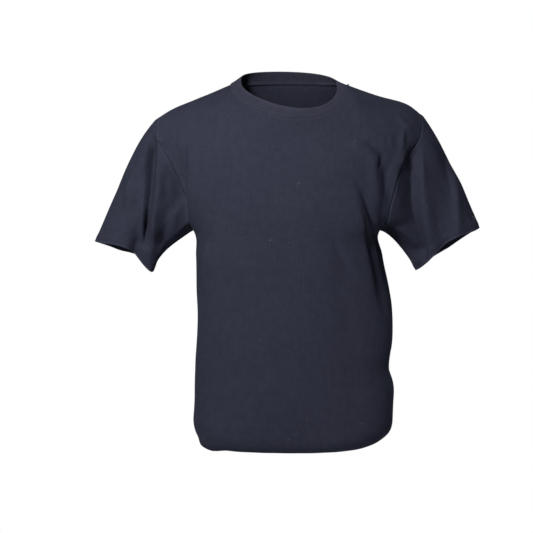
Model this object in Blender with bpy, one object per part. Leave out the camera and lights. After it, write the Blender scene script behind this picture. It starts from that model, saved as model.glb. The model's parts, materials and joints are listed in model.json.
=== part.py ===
"""Short-sleeved crew neck t-shirt, held open as if worn, with its hem turned under.

The shirt is one cloth surface, cut into a front, a back, two sleeves and a neck rib.
Metres, +Z up. The front faces -Y and +X is the wearer's left. The origin lies midway
between the neck ends of the two shoulder seams, where the wearer's shoulders hold it.
"""

import math
from collections import namedtuple

import bpy
import numpy as np

# Cloth
WALL = 0.0016
RIB_WALL = 0.0020
SEAM_GAP = 0.0003
MOST_MITRE = 1.7
LEAST_LEAN = 0.2
SEAM_SOFTENING = 2

# Shoulders and neckline
SHOULDER = {"right_arm": (-0.2352, 0.0, -0.0595), "left_arm": (0.2345, 0.0, -0.0530)}
SHOULDER_CROWN = {"right_arm": 0.0032, "left_arm": 0.0088}
CROWN_AT = 0.23
NECK_HALF = 0.1030
NECK_CENTRE = -0.0030
NECK_FRONT = 0.0800
NECK_FRONT_FULLNESS = 0.8
NECK_BACK = 0.0560
NECK_DROP = 0.0560
NECK_DROP_FULLNESS = 1.05
NECK_BACK_RISE = 0.0030
NECK_SKEW = 0.205

# Neck rib, at its free edge
RIB_HALF = 0.0853
RIB_CENTRE = -0.0005
RIB_FRONT = 0.0700
RIB_BACK = 0.0470
RIB_DROP = 0.0390
RIB_RISE = 0.0226
RIB_RISE_FULLNESS = 0.5
RIB_TILT = 0.0050

# Body: z of the level below the neck from which the shoulders are lofted, of the armpit
# and of the lowest upright level, and the turned-under bottom
YOKE_Z = -0.1000
YOKE_STEP = 0.0100
ARMPIT_Z = -0.2580
UPRIGHT_Z = -0.6000
CURL_DROP = 0.0455
CURL_INSET = 0.0440
CORNER_INSET = {"right_arm": 0.035, "left_arm": 0.070}
HEM_RUN = 0.0220
HEM_LIFT = 0.0060
GATHERS = 14
GATHER_LIFT = 0.0050

# How the cloth arrives at the ridge of the shoulders and at the middle of the neckline
RIDGE_SLOPE = 0.30
NECK_RISE = {"front": (0.0, 0.62, 0.80), "back": (0.0, -0.35, 0.94)}

# A level of the body: half widths to the wearer's right and left, depths to the front
# and back, how square its ellipse is, and how far the armholes cut into it, in degrees
Level = namedtuple("Level", "z right left front back square cut_front cut_back")
LEVELS = (
    Level(-0.6350, 0.1745, 0.1855, 0.114, 0.124, 2.80, 0, 0),
    Level(-0.6050, 0.1735, 0.1880, 0.116, 0.126, 2.80, 0, 0),
    Level(-0.5700, 0.1715, 0.1888, 0.118, 0.127, 2.70, 0, 0),
    Level(-0.5400, 0.1705, 0.1893, 0.119, 0.127, 2.60, 0, 0),
    Level(-0.5000, 0.1690, 0.1790, 0.120, 0.125, 2.50, 0, 0),
    Level(-0.4650, 0.1670, 0.1855, 0.121, 0.122, 2.45, 0, 0),
    Level(-0.4200, 0.1650, 0.1862, 0.122, 0.120, 2.45, 0, 0),
    Level(-0.3600, 0.1660, 0.1780, 0.124, 0.122, 2.40, 0, 0),
    Level(-0.3000, 0.1665, 0.1668, 0.127, 0.127, 2.40, 0, 0),
    Level(-0.2580, 0.1705, 0.1610, 0.128, 0.130, 2.40, 0, 0),
    Level(-0.2400, 0.1840, 0.1745, 0.128, 0.132, 2.40, 24, 21),
    Level(-0.2090, 0.2029, 0.1920, 0.127, 0.133, 2.40, 32, 27),
    Level(-0.1850, 0.2158, 0.2015, 0.124, 0.132, 2.40, 33, 28),
    Level(-0.1600, 0.2240, 0.2110, 0.120, 0.129, 2.35, 33, 28),
    Level(-0.1300, 0.2320, 0.2260, 0.112, 0.123, 2.30, 31, 26),
    Level(-0.1000, 0.2455, 0.2410, 0.100, 0.112, 2.25, 26, 21),
)

# A sleeve: how steeply it leaves the shoulder and the armpit, in degrees below level, the
# outer and inner corner of its cuff, half its depth, how far the front edge tips up, and
# two waves of the front edge (height, and the angle and half width of it in degrees)
Sleeve = namedtuple(
    "Sleeve", "over under outer inner depth tip lift lift_at lift_half dip dip_at dip_half"
)
SLEEVES = {
    "right_arm": Sleeve(
        42, 33, (-0.3480, -0.2785), (-0.2405, -0.3135), 0.062, 0.16, 0.006, 90, 35, -0.021, 147, 23
    ),
    "left_arm": Sleeve(
        50, 12, (0.3380, -0.2530), (0.2275, -0.3295), 0.058, 0.16, 0.013, 90, 36, 0.0, 150, 20
    ),
}
CUFF_STEEPNESS = 63
SLEEVE_LEAD = 0.75

# A fold: the face it is on, its two ends, the sideways bow of its line, half its width,
# its height (a trough is negative), and the share of its length that fades at each end
Fold = namedtuple("Fold", "face x0 z0 x1 z1 bow half height fade0 fade1")
FOLDS = (
    # body, front: hollows beside the armholes, the chest edges and the drag lines
    Fold("front", -0.188, -0.128, -0.184, -0.262, 0.000, 0.013, -0.0090, 0.4, 0.3),
    Fold("front", 0.181, -0.122, 0.184, -0.252, -0.003, 0.014, -0.0100, 0.4, 0.3),
    Fold("front", 0.112, -0.160, 0.180, -0.470, 0.022, 0.013, 0.0060, 0.4, 0.4),
    Fold("front", 0.140, -0.190, 0.194, -0.440, 0.020, 0.014, -0.0070, 0.4, 0.4),
    Fold("front", 0.158, -0.140, 0.160, -0.262, 0.000, 0.012, 0.0040, 0.4, 0.4),
    Fold("front", -0.128, -0.215, -0.153, -0.410, -0.004, 0.013, 0.0045, 0.5, 0.5),
    Fold("front", -0.146, -0.250, -0.163, -0.460, 0.000, 0.012, -0.0040, 0.5, 0.5),
    Fold("front", 0.096, -0.090, 0.152, -0.118, -0.004, 0.009, 0.0035, 0.5, 0.4),
    Fold("front", 0.074, -0.262, 0.122, -0.362, 0.002, 0.014, -0.0030, 0.5, 0.5),
    # body, front: the gathered ridge over the turned-under corner
    Fold("front", -0.168, -0.632, -0.107, -0.655, -0.004, 0.014, 0.0075, 0.25, 0.5),
    # body, back: similar ones
    Fold("back", -0.190, -0.130, -0.178, -0.262, 0.000, 0.015, -0.0080, 0.4, 0.3),
    Fold("back", 0.190, -0.130, 0.178, -0.262, 0.000, 0.015, -0.0080, 0.4, 0.3),
    Fold("back", -0.120, -0.180, -0.168, -0.440, -0.018, 0.015, 0.0060, 0.4, 0.4),
    Fold("back", 0.130, -0.200, 0.172, -0.420, 0.016, 0.015, 0.0055, 0.4, 0.4),
    Fold("back", -0.060, -0.330, 0.020, -0.560, 0.010, 0.020, -0.0040, 0.5, 0.5),
    Fold("back", 0.080, -0.380, 0.050, -0.580, -0.008, 0.018, 0.0040, 0.5, 0.5),
    # sleeve on the wearer's right: the deep valley between its lobes, and the lobes
    Fold("front", -0.247, -0.090, -0.271, -0.345, -0.002, 0.013, -0.0150, 0.4, 0.0),
    Fold("front", -0.236, -0.120, -0.250, -0.345, -0.004, 0.012, 0.0070, 0.4, 0.0),
    Fold("front", -0.274, -0.150, -0.292, -0.250, 0.004, 0.013, 0.0055, 0.4, 0.5),
    Fold("front", -0.215, -0.170, -0.222, -0.300, 0.002, 0.012, -0.0060, 0.5, 0.2),
    # sleeve on the wearer's left: a long ridge between two valleys, and an outer ridge
    Fold("front", 0.223, -0.095, 0.258, -0.345, 0.000, 0.013, 0.0080, 0.3, 0.0),
    Fold("front", 0.250, -0.130, 0.277, -0.330, 0.002, 0.013, -0.0120, 0.4, 0.0),
    Fold("front", 0.281, -0.150, 0.300, -0.300, 0.000, 0.012, 0.0050, 0.4, 0.0),
    Fold("front", 0.206, -0.150, 0.226, -0.330, 0.000, 0.013, -0.0070, 0.4, 0.0),
    # sleeves, back
    Fold("back", -0.235, -0.120, -0.285, -0.320, 0.000, 0.015, 0.0060, 0.4, 0.0),
    Fold("back", -0.262, -0.120, -0.312, -0.300, 0.000, 0.014, -0.0060, 0.4, 0.0),
    Fold("back", 0.232, -0.120, 0.268, -0.330, 0.000, 0.015, 0.0060, 0.4, 0.0),
    Fold("back", 0.262, -0.130, 0.298, -0.300, 0.000, 0.014, -0.0060, 0.4, 0.0),
)

# A fold reaches this many half widths, and fades where the cloth turns from its face
FOLD_REACH = 3.0
FOLD_FACING = 1.6

# Mesh divisions
SHOULDER_COLUMNS = 5
NECK_COLUMNS = 16
HEM_ROWS = 1
CURL_ROWS = 4
UPRIGHT_ROWS = 13
ARMHOLE_ROWS = 9
YOKE_ROWS = 5
SLEEVE_ROWS = 13
RIB_ROWS = 3

NAVY = (0.022, 0.025, 0.042, 1.0)
NAVY_RIB = (0.024, 0.027, 0.044, 1.0)
JERSEY_ROUGHNESS = 0.9
SHARP_EDGE = math.radians(50)


def smooth(value):
    """Smoothstep of a value clipped to 0..1."""
    value = np.clip(value, 0.0, 1.0)
    return value * value * (3.0 - 2.0 * value)


def hump(value, centre, half):
    """A soft hump of height 1 round a centre."""
    return math.exp(-(((value - centre) / half) ** 2))


def hermite(start, end, leave, arrive, share):
    """Cubic from start to end with the given end tangents."""
    s2 = share * share
    s3 = s2 * share
    return (
        start * (2 * s3 - 3 * s2 + 1)
        + leave * (s3 - 2 * s2 + share)
        + end * (3 * s2 - 2 * s3)
        + arrive * (s3 - s2)
    )


def level_at(z):
    """The body's level at a height, from smooth curves through the table."""
    table = np.array(LEVELS)
    heights = table[:, 0]
    slopes = np.gradient(table, heights, axis=0)
    z = min(max(z, heights[0]), heights[-1])
    i = min(int(np.searchsorted(heights, z, side="right")) - 1, len(heights) - 2)
    step = heights[i + 1] - heights[i]
    share = (z - heights[i]) / step
    values = hermite(table[i], table[i + 1], slopes[i] * step, slopes[i + 1] * step, share)
    values[6:] = table[i][6:] + (table[i + 1][6:] - table[i][6:]) * share
    return Level(*values)


def roundness(across, out, square):
    """Distance of a superellipse from its centre in a direction."""
    return (abs(across) ** square + abs(out) ** square) ** (-1.0 / square)


def level_point(level, angle, face, z):
    """Point of a level; the angle runs from 0 at +X over a quarter turn at the face."""
    across = math.cos(angle)
    out = math.sin(angle)
    reach = roundness(across, out, level.square)
    half = level.left if across > 0 else level.right
    depth = -level.front if face == "front" else level.back
    return np.array((half * across * reach, depth * out * reach, z))


def shoulder_point(arm, share):
    """Point of a shoulder seam, from the sleeve (0) to the neck (1)."""
    start = np.array(SHOULDER[arm])
    sign = -1 if arm == "right_arm" else 1
    end = np.array((NECK_CENTRE + sign * NECK_HALF, 0.0, 0.0))
    point = start + (end - start) * share
    near = share / CROWN_AT
    point[2] += SHOULDER_CROWN[arm] * (near * math.exp(1 - near)) ** 2
    return point


def neck_point(face, angle):
    """Point of the neckline seam; 0 is the wearer's left end of it."""
    x = NECK_CENTRE + NECK_HALF * math.cos(angle)
    if face == "back":
        return np.array((x, NECK_BACK * math.sin(angle), NECK_BACK_RISE * math.sin(angle)))
    low = max(math.sin(angle + NECK_SKEW * math.sin(angle)), 0.0)
    forward = max(math.sin(angle), 0.0) ** NECK_FRONT_FULLNESS
    return np.array((x, -NECK_FRONT * forward, -NECK_DROP * low ** NECK_DROP_FULLNESS))


def rib_point(face, angle):
    """Point of the neck rib's free edge beside the same angle of the neckline."""
    x = RIB_CENTRE + RIB_HALF * math.cos(angle)
    out = max(math.sin(angle), 0.0)
    if face == "back":
        tilt = -RIB_TILT * math.cos(angle) * (1 - out / 2)
        return np.array((x, RIB_BACK * out, tilt + RIB_RISE * out ** RIB_RISE_FULLNESS))
    low = max(math.sin(angle + NECK_SKEW * out), 0.0)
    z = -RIB_TILT * math.cos(angle) - RIB_DROP * low ** NECK_DROP_FULLNESS
    return np.array((x, -RIB_FRONT * out ** NECK_FRONT_FULLNESS, z))


def top_edge(face):
    """Shoulder seam, neckline and shoulder seam, from -X to +X."""
    points = []
    for k in range(SHOULDER_COLUMNS):
        points.append(shoulder_point("right_arm", k / SHOULDER_COLUMNS))
    for k in range(NECK_COLUMNS + 1):
        points.append(neck_point(face, math.pi * (1 - k / NECK_COLUMNS)))
    for k in range(SHOULDER_COLUMNS - 1, -1, -1):
        points.append(shoulder_point("left_arm", k / SHOULDER_COLUMNS))
    return np.array(points)


def column_angles(level, face, z, count):
    """Angle of each column at a level: even round the tube, even across the chest."""
    cut = math.radians(level.cut_front if face == "front" else level.cut_back)
    even = np.linspace(math.pi - cut, cut, count)
    edge = math.cos(cut) * roundness(math.cos(cut), math.sin(cut), level.square)
    across = []
    for share in np.linspace(-1.0, 1.0, count):
        x = abs(share) * edge
        y = (1 - x ** level.square) ** (1 / level.square)
        across.append(math.atan2(y, math.copysign(x, share)))
    weight = float(smooth((z - ARMPIT_Z) / (YOKE_Z - ARMPIT_Z)))
    return even + (np.array(across) - even) * weight


def body_row(face, z, count):
    """Points of one upright level of a body panel, from -X to +X."""
    level = level_at(z)
    angles = column_angles(level, face, z, count)
    return np.array([level_point(level, angle, face, z) for angle in angles])


def turned_row(face, turn, run, count):
    """Points of the turned-under bottom: turn 0..1 round the curl, run 0..1 to the hem."""
    level = level_at(UPRIGHT_Z)
    sink = CURL_DROP * math.sin(turn * math.pi / 2)
    draw = 1 - math.cos(turn * math.pi / 2)
    level = level._replace(
        right=level.right - CORNER_INSET["right_arm"] * draw - HEM_RUN * run,
        left=level.left - CORNER_INSET["left_arm"] * draw - HEM_RUN * run,
        front=level.front - CURL_INSET * draw - HEM_RUN * run,
        back=level.back - CURL_INSET * draw - HEM_RUN * run,
    )
    points = []
    for angle in np.linspace(math.pi, 0.0, count):
        point = level_point(level, angle, face, UPRIGHT_Z - sink)
        wave = 0.5 - 0.5 * math.cos(GATHERS * angle)
        point[2] += (HEM_LIFT + GATHER_LIFT * wave) * run
        points.append(point)
    return np.array(points)


def unit(vectors):
    """Vectors of length 1."""
    length = np.linalg.norm(vectors, axis=-1, keepdims=True)
    return vectors / np.maximum(length, 1e-12)


def yoke_rows(face, below, base, top):
    """Rows from the yoke level up to the shoulder seams and the neckline."""
    sign = 1.0 if face == "front" else -1.0
    up = NECK_RISE[face]
    columns = np.arange(len(top)) - SHOULDER_COLUMNS
    neck = np.sin(np.clip(columns / NECK_COLUMNS, 0, 1) * math.pi)[:, None]
    beside = np.minimum(columns, NECK_COLUMNS - columns) / SHOULDER_COLUMNS
    slope = (RIDGE_SLOPE * smooth(1 + beside))[:, None]
    over = np.concatenate((np.zeros_like(slope), np.full_like(slope, sign), slope), axis=1)
    arrive = over * (1 - neck) + np.array(up) * neck
    arrive[:, 0] = (top - base)[:, 0] / np.linalg.norm(top - base, axis=1)
    arrive = unit(arrive)
    leave = unit(base - below)
    length = np.linalg.norm(top - base, axis=1, keepdims=True)
    return [
        hermite(base, top, leave * length, arrive * length, i / YOKE_ROWS)
        for i in range(1, YOKE_ROWS + 1)
    ]


def body_grid(face):
    """Rows of a body panel from the hem edge up to the shoulders and neckline."""
    top = top_edge(face)
    count = len(top)
    rows = [turned_row(face, 1.0, 1 - i / HEM_ROWS, count) for i in range(HEM_ROWS)]
    rows += [turned_row(face, 1 - i / CURL_ROWS, 0.0, count) for i in range(CURL_ROWS)]
    for i in range(UPRIGHT_ROWS):
        z = UPRIGHT_Z + (ARMPIT_Z - UPRIGHT_Z) * i / UPRIGHT_ROWS
        rows.append(body_row(face, z, count))
    for i in range(ARMHOLE_ROWS + 1):
        z = ARMPIT_Z + (YOKE_Z - ARMPIT_Z) * i / ARMHOLE_ROWS
        rows.append(body_row(face, z, count))
    below = body_row(face, YOKE_Z - YOKE_STEP, count)
    rows += yoke_rows(face, below, rows[-1], top)
    return np.array(rows)


def armhole_loop(front, back, column):
    """The armhole from the shoulder point over the front and the armpit to the back."""
    start = HEM_ROWS + CURL_ROWS + UPRIGHT_ROWS
    return np.concatenate((front[start:, column][::-1], back[start + 1 : -1, column]))


def cuff_loop(arm, turns):
    """The cuff's edge; turns run from 0 at its outer corner over the front."""
    sleeve = SLEEVES[arm]
    outer = np.array((sleeve.outer[0], 0.0, sleeve.outer[1]))
    inner = np.array((sleeve.inner[0], 0.0, sleeve.inner[1]))
    centre = (outer + inner) / 2
    along = (outer - inner) / 2
    front = np.array((0.0, -1.0, sleeve.tip)) * sleeve.depth
    points = []
    for turn in turns:
        point = centre + along * math.cos(turn) + front * math.sin(turn)
        degrees = math.degrees(turn)
        point[2] += sleeve.lift * hump(degrees, sleeve.lift_at, sleeve.lift_half)
        point[2] += sleeve.dip * hump(degrees, sleeve.dip_at, sleeve.dip_half)
        points.append(point)
    return np.array(points)


def slanting(sign, degrees):
    """Directions away from the body, at angles below level."""
    angles = np.radians(degrees)
    return np.stack((sign * np.cos(angles), np.zeros_like(angles), -np.sin(angles)), axis=1)


def with_midpoints(ring):
    """A ring with the point halfway along each of its sides added."""
    halfway = (ring + np.roll(ring, -1, axis=0)) / 2
    return np.stack((ring, halfway), axis=1).reshape(-1, 3)


def sleeve_grid(arm, loop):
    """Rings of a sleeve from the armhole to the cuff."""
    sleeve = SLEEVES[arm]
    sign = -1 if arm == "right_arm" else 1
    loop = with_midpoints(loop)
    steps = np.linalg.norm(np.roll(loop, -1, axis=0) - loop, axis=1)
    turns = 2 * math.pi * np.concatenate(((0.0,), np.cumsum(steps)[:-1])) / steps.sum()
    cuff = cuff_loop(arm, turns)
    length = np.linalg.norm(cuff - loop, axis=1, keepdims=True) * SLEEVE_LEAD
    below = (1 - np.cos(turns)) / 2
    steepness = sleeve.over + (sleeve.under - sleeve.over) * below
    leave = slanting(sign, steepness) * length
    arrive = slanting(sign, np.full_like(turns, CUFF_STEEPNESS)) * length
    shares = [i / SLEEVE_ROWS for i in range(SLEEVE_ROWS + 1)]
    return np.array([hermite(loop, cuff, leave, arrive, share) for share in shares])


def rib_grid():
    """Rings of the neck rib from the neckline seam to its free edge."""
    angles = [math.pi * k / NECK_COLUMNS for k in range(NECK_COLUMNS)]
    seam = [neck_point("front", angle) for angle in angles]
    seam += [neck_point("back", math.pi - angle) for angle in angles]
    edge = [rib_point("front", angle) for angle in angles]
    edge += [rib_point("back", math.pi - angle) for angle in angles]
    seam = np.array(seam)
    edge = np.array(edge)
    return np.array([seam + (edge - seam) * i / RIB_ROWS for i in range(RIB_ROWS + 1)])


def fold_height(point, normal):
    """How far the folds move a point of the cloth along its normal."""
    total = 0.0
    spot = np.array((point[0], point[2]))
    for fold in FOLDS:
        facing = -normal[1] if fold.face == "front" else normal[1]
        if facing <= 0:
            continue
        start = np.array((fold.x0, fold.z0))
        line = np.array((fold.x1, fold.z1)) - start
        along = float(np.clip(np.dot(spot - start, line) / np.dot(line, line), 0, 1))
        aside = np.array((-line[1], line[0])) / np.linalg.norm(line)
        near = start + line * along + aside * fold.bow * 4 * along * (1 - along)
        away = np.linalg.norm(spot - near) / fold.half
        if away > FOLD_REACH:
            continue
        fade = 1.0
        if fold.fade0 > 0:
            fade *= float(smooth(along / fold.fade0))
        if fold.fade1 > 0:
            fade *= float(smooth((1 - along) / fold.fade1))
        total += fold.height * fade * math.exp(-away * away) * float(smooth(facing * FOLD_FACING))
    return total


class Patch:
    """A piece of the cloth surface, as a grid of points that may close into a ring."""

    def __init__(self, name, grid, closed, flip, wall):
        self.name = name
        self.grid = grid
        self.closed = closed
        self.flip = flip
        self.wall = wall

    def quads(self):
        """Grid indices of each quad, wound to face out of the shirt."""
        rows, columns = self.grid.shape[:2]
        last = columns if self.closed else columns - 1
        for i in range(rows - 1):
            for j in range(last):
                k = (j + 1) % columns
                quad = ((i, j), (i, k), (i + 1, k), (i + 1, j))
                yield quad[::-1] if self.flip else quad


def point_key(point):
    """Key under which the pieces that meet at a point find each other."""
    return tuple(np.round(point, 6) + 0.0)


def soften_seam(normals, keys):
    """Evens out the normals along a closed seam, where the cloth turns sharply."""
    for _ in range(SEAM_SOFTENING):
        ring = np.array([normals[key] for key in keys])
        ring = unit(np.roll(ring, 1, axis=0) + 2 * ring + np.roll(ring, -1, axis=0))
        normals.update(zip(keys, ring))


def shared_normals(patches):
    """Smooth normals, the same for every piece that meets at a seam, and wall mitres."""
    sums = {}
    faces = {}
    for patch in patches:
        for quad in patch.quads():
            a, b, c, d = (patch.grid[spot] for spot in quad)
            normal = np.cross(c - a, d - b) / 2
            for corner in (a, b, c, d):
                key = point_key(corner)
                sums[key] = sums.get(key, 0.0) + normal
                faces.setdefault(key, []).append(normal)
    normals = {key: unit(total) for key, total in sums.items()}
    for patch in patches:
        if patch.name.startswith("sleeve"):
            soften_seam(normals, [point_key(point) for point in patch.grid[0, ::2]])
    mitres = {}
    for key, around in faces.items():
        lean = np.mean([np.dot(unit(normal), normals[key]) for normal in around])
        mitres[key] = min(1.0 / max(lean, LEAST_LEAN), MOST_MITRE)
    results = []
    for patch in patches:
        keys = [[point_key(point) for point in row] for row in patch.grid]
        normal = np.array([[normals[key] for key in row] for row in keys])
        mitre = np.array([[[mitres[key]] for key in row] for row in keys])
        results.append((normal, mitre))
    return results


def fold_cloth(patches):
    """Moves each piece's points along the shared normals by its folds."""
    for patch, (normals, _) in zip(patches, shared_normals(patches)):
        if patch.name == "neck_rib":
            continue
        rows, columns = patch.grid.shape[:2]
        for i in range(rows):
            for j in range(columns):
                normal = normals[i, j]
                height = fold_height(patch.grid[i, j], normal)
                patch.grid[i, j] = patch.grid[i, j] + normal * height
        if patch.name.startswith("sleeve"):
            patch.grid[0] = with_midpoints(patch.grid[0, ::2])


def seam_shift(patch, normals):
    """Moves the points on a piece's edges inward by half the gap between two pieces."""
    grid = patch.grid
    shift = np.zeros_like(grid)
    sides = [(0, 1, "row"), (-1, -2, "row")]
    if not patch.closed:
        sides += [(0, 1, "column"), (-1, -2, "column")]
    for edge, inside, kind in sides:
        spot = (edge,) if kind == "row" else (slice(None), edge)
        inner = (inside,) if kind == "row" else (slice(None), inside)
        line = grid[spot]
        if patch.closed:
            tangent = unit(np.roll(line, -1, axis=0) - np.roll(line, 1, axis=0))
        else:
            tangent = unit(np.gradient(line, axis=0))
        normal = normals[spot]
        inward = np.cross(normal, tangent)
        inward = unit(inward)
        turn = np.sum(inward * (grid[inner] - line), axis=1, keepdims=True)
        shift[spot] += inward * np.sign(turn) * SEAM_GAP / 2
    return shift


def steeper(one, other):
    """Whether one diagonal hangs steeper than the other, so that folds follow it."""
    return abs(one[2]) * np.linalg.norm(other) >= abs(other[2]) * np.linalg.norm(one)


def wall_mesh(patch, normals, mitres):
    """Points and triangles of a piece's wall, as thick cloth closed at its edges."""
    rows, columns = patch.grid.shape[:2]
    middle = patch.grid + seam_shift(patch, normals)
    offset = normals * mitres * patch.wall / 2
    if patch.name.startswith("sleeve"):
        middle[0] = with_midpoints(middle[0, ::2])
        offset[0] = with_midpoints(offset[0, ::2])
    points = np.concatenate(((middle + offset).reshape(-1, 3), (middle - offset).reshape(-1, 3)))
    count = rows * columns
    triangles = []
    for quad in patch.quads():
        a, b, c, d = (i * columns + j for i, j in quad)
        if steeper(points[c] - points[a], points[d] - points[b]):
            halves = ((a, b, c), (a, c, d))
        else:
            halves = ((a, b, d), (b, c, d))
        for one, two, three in halves:
            triangles.append((one, two, three))
            triangles.append((three + count, two + count, one + count))
    used = set()
    for one, two, three in triangles:
        used.update(((one, two), (two, three), (three, one)))
    rims = [(a, b) for a, b in used if (b, a) not in used and a < count]
    for a, b in sorted(rims):
        # neighbours split the shared end face along the same diagonal
        if tuple(np.round(points[a], 3)) < tuple(np.round(points[b], 3)):
            triangles.append((b, a, a + count))
            triangles.append((b, a + count, b + count))
        else:
            triangles.append((b, a, b + count))
            triangles.append((a, a + count, b + count))
    return points, triangles


def jersey(name, colour):
    """A Principled material of matt cotton jersey."""
    made = bpy.data.materials.new(name)
    made.use_nodes = True
    shader = made.node_tree.nodes["Principled BSDF"]
    shader.inputs["Base Color"].default_value = colour
    shader.inputs["Roughness"].default_value = JERSEY_ROUGHNESS
    shader.inputs["Metallic"].default_value = 0.0
    return made


def add_piece(patch, normals, mitres, colour):
    """Adds a piece of the shirt as an object with its own material."""
    points, triangles = wall_mesh(patch, normals, mitres)
    mesh = bpy.data.meshes.new(patch.name)
    mesh.from_pydata([tuple(point) for point in points], [], triangles)
    mesh.update()
    mesh.shade_smooth()
    mesh.set_sharp_from_angle(angle=SHARP_EDGE)
    mesh.materials.append(jersey(patch.name + "_jersey", colour))
    piece = bpy.data.objects.new(patch.name, mesh)
    bpy.context.scene.collection.objects.link(piece)
    return piece


def build_shirt():
    """Models the whole shirt."""
    for item in list(bpy.data.objects):
        bpy.data.objects.remove(item, do_unlink=True)
    front = body_grid("front")
    back = body_grid("back")
    patches = [
        Patch("front", front, False, False, WALL),
        Patch("back", back, False, True, WALL),
        Patch(
            "sleeve_right_arm",
            sleeve_grid("right_arm", armhole_loop(front, back, 0)),
            True,
            True,
            WALL,
        ),
        Patch(
            "sleeve_left_arm",
            sleeve_grid("left_arm", armhole_loop(front, back, -1)),
            True,
            False,
            WALL,
        ),
        Patch("neck_rib", rib_grid(), True, True, RIB_WALL),
    ]
    fold_cloth(patches)
    for patch, (normals, mitres) in zip(patches, shared_normals(patches)):
        add_piece(patch, normals, mitres, NAVY_RIB if patch.name == "neck_rib" else NAVY)


build_shirt()
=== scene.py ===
import json
import logging
import math
from collections.abc import Callable
from dataclasses import dataclass, field
from enum import Enum, IntEnum

import bmesh
import bpy
import numpy as np
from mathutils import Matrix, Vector

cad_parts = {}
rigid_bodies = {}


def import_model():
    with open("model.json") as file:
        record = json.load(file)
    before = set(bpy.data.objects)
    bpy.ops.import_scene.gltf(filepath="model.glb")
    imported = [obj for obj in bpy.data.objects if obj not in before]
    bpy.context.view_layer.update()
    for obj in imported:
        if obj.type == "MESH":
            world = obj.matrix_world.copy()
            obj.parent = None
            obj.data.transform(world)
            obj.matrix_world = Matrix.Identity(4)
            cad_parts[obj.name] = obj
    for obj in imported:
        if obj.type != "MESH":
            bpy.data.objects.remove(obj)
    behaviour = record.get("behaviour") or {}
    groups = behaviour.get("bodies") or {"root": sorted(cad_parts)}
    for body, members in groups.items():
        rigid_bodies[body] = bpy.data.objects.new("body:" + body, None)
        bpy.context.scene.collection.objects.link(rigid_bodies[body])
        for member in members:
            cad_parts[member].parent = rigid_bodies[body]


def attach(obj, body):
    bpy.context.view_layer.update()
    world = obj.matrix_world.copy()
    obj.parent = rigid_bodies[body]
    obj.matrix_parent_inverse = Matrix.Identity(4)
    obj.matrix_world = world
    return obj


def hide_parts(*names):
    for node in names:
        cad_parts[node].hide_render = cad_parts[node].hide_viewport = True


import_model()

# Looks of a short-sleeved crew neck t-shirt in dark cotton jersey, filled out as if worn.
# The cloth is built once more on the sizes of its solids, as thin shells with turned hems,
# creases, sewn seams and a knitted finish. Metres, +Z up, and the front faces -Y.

LOG = logging.getLogger("shirt")
ROOT = "root"
PATTERN = "knit"
# the map of rubbed places, which also paints highlights on seam ridges and folds
WEAR_AND_HIGHLIGHT_MAP = "worn"
PANELS = ("front", "back")
SLEEVES = ("sleeve_right_arm", "sleeve_left_arm")
BAND = "neck_rib"
TURN = 2 * math.pi
MM = 0.001


class Face(Enum):
    """Which half of the cloth something lies on, by the sign of its outward Y."""

    FRONT = -1.0
    BACK = 1.0


class Arm(Enum):
    """Which of the wearer's arms, by the sign of its X."""

    RIGHT = -1.0
    LEFT = 1.0


class Profile(Enum):
    """How a crease's sides fall away from its crest."""

    ROUND = "round"
    PLANE = "plane"


class Level(IntEnum):
    """What the columns of the body's table of levels hold."""

    HEIGHT = 0
    RIGHT = 1
    LEFT = 2
    FRONT = 3
    BACK = 4
    SQUARE = 5
    CUT_FRONT = 6
    CUT_BACK = 7

    def of(self, levels: np.ndarray) -> np.ndarray:
        """This column of some levels, one value to a row."""
        return levels[:, self : self + 1]


def smooth(value: np.ndarray) -> np.ndarray:
    """Smoothstep of values clipped to 0..1."""
    value = np.clip(value, 0.0, 1.0)
    return value * value * (3.0 - 2.0 * value)


def unit(vectors: np.ndarray) -> np.ndarray:
    """Vectors made one long."""
    return vectors / np.maximum(np.linalg.norm(vectors, axis=-1, keepdims=True), 1e-12)


def bell(value: np.ndarray, centre: float, half: float) -> np.ndarray:
    """A soft hump of height 1 round a centre."""
    return np.exp(-(((value - centre) / half) ** 2))


def hermite(
    start: np.ndarray, end: np.ndarray, leave: np.ndarray, arrive: np.ndarray, share: np.ndarray
) -> np.ndarray:
    """Cubic from start to end with the given end tangents.

    Args:
        start: where the curve starts.
        end: where it ends.
        leave: its tangent at the start.
        arrive: its tangent at the end.
        share: how far along it the points lie, 0 to 1.

    Returns:
        The points of the curve.
    """
    s2 = share * share
    s3 = s2 * share
    return (
        start * (2 * s3 - 3 * s2 + 1)
        + leave * (s3 - 2 * s2 + share)
        + end * (3 * s2 - 2 * s3)
        + arrive * (s3 - s2)
    )


def spaced(count: int, close_start: tuple[float, ...] = (), close_end: tuple[float, ...] = ()) -> np.ndarray:
    """Even shares from 0 to 1 with further ones close to the ends.

    Args:
        count: how many even steps.
        close_start: shares to add near 0.
        close_end: distances from 1 of shares to add near it.

    Returns:
        The sorted shares.
    """
    even = np.linspace(0.0, 1.0, count + 1)
    added = np.array([*close_start, *(1 - share for share in close_end)])
    return np.unique(np.concatenate((even, added)))


def lengths_along(points: np.ndarray, axis: int) -> np.ndarray:
    """Length from the first point of each line of a grid to every point of it.

    Args:
        points: a grid of points.
        axis: 0 for lines down the grid and 1 for lines across it.

    Returns:
        A length for each point.
    """
    steps = np.linalg.norm(np.diff(points, axis=axis), axis=2)
    start = np.zeros_like(np.take(points[..., 0], [0], axis=axis))
    return np.concatenate((start, np.cumsum(steps, axis=axis)), axis=axis)


def interpolated(at: np.ndarray, along: np.ndarray, line: np.ndarray) -> np.ndarray:
    """Places on a line of points.

    Args:
        at: how far along it the places lie.
        along: how far along it its points lie.
        line: its points.

    Returns:
        The places.
    """
    return np.stack([np.interp(at, along, line[:, k]) for k in range(3)], axis=1)


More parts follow.
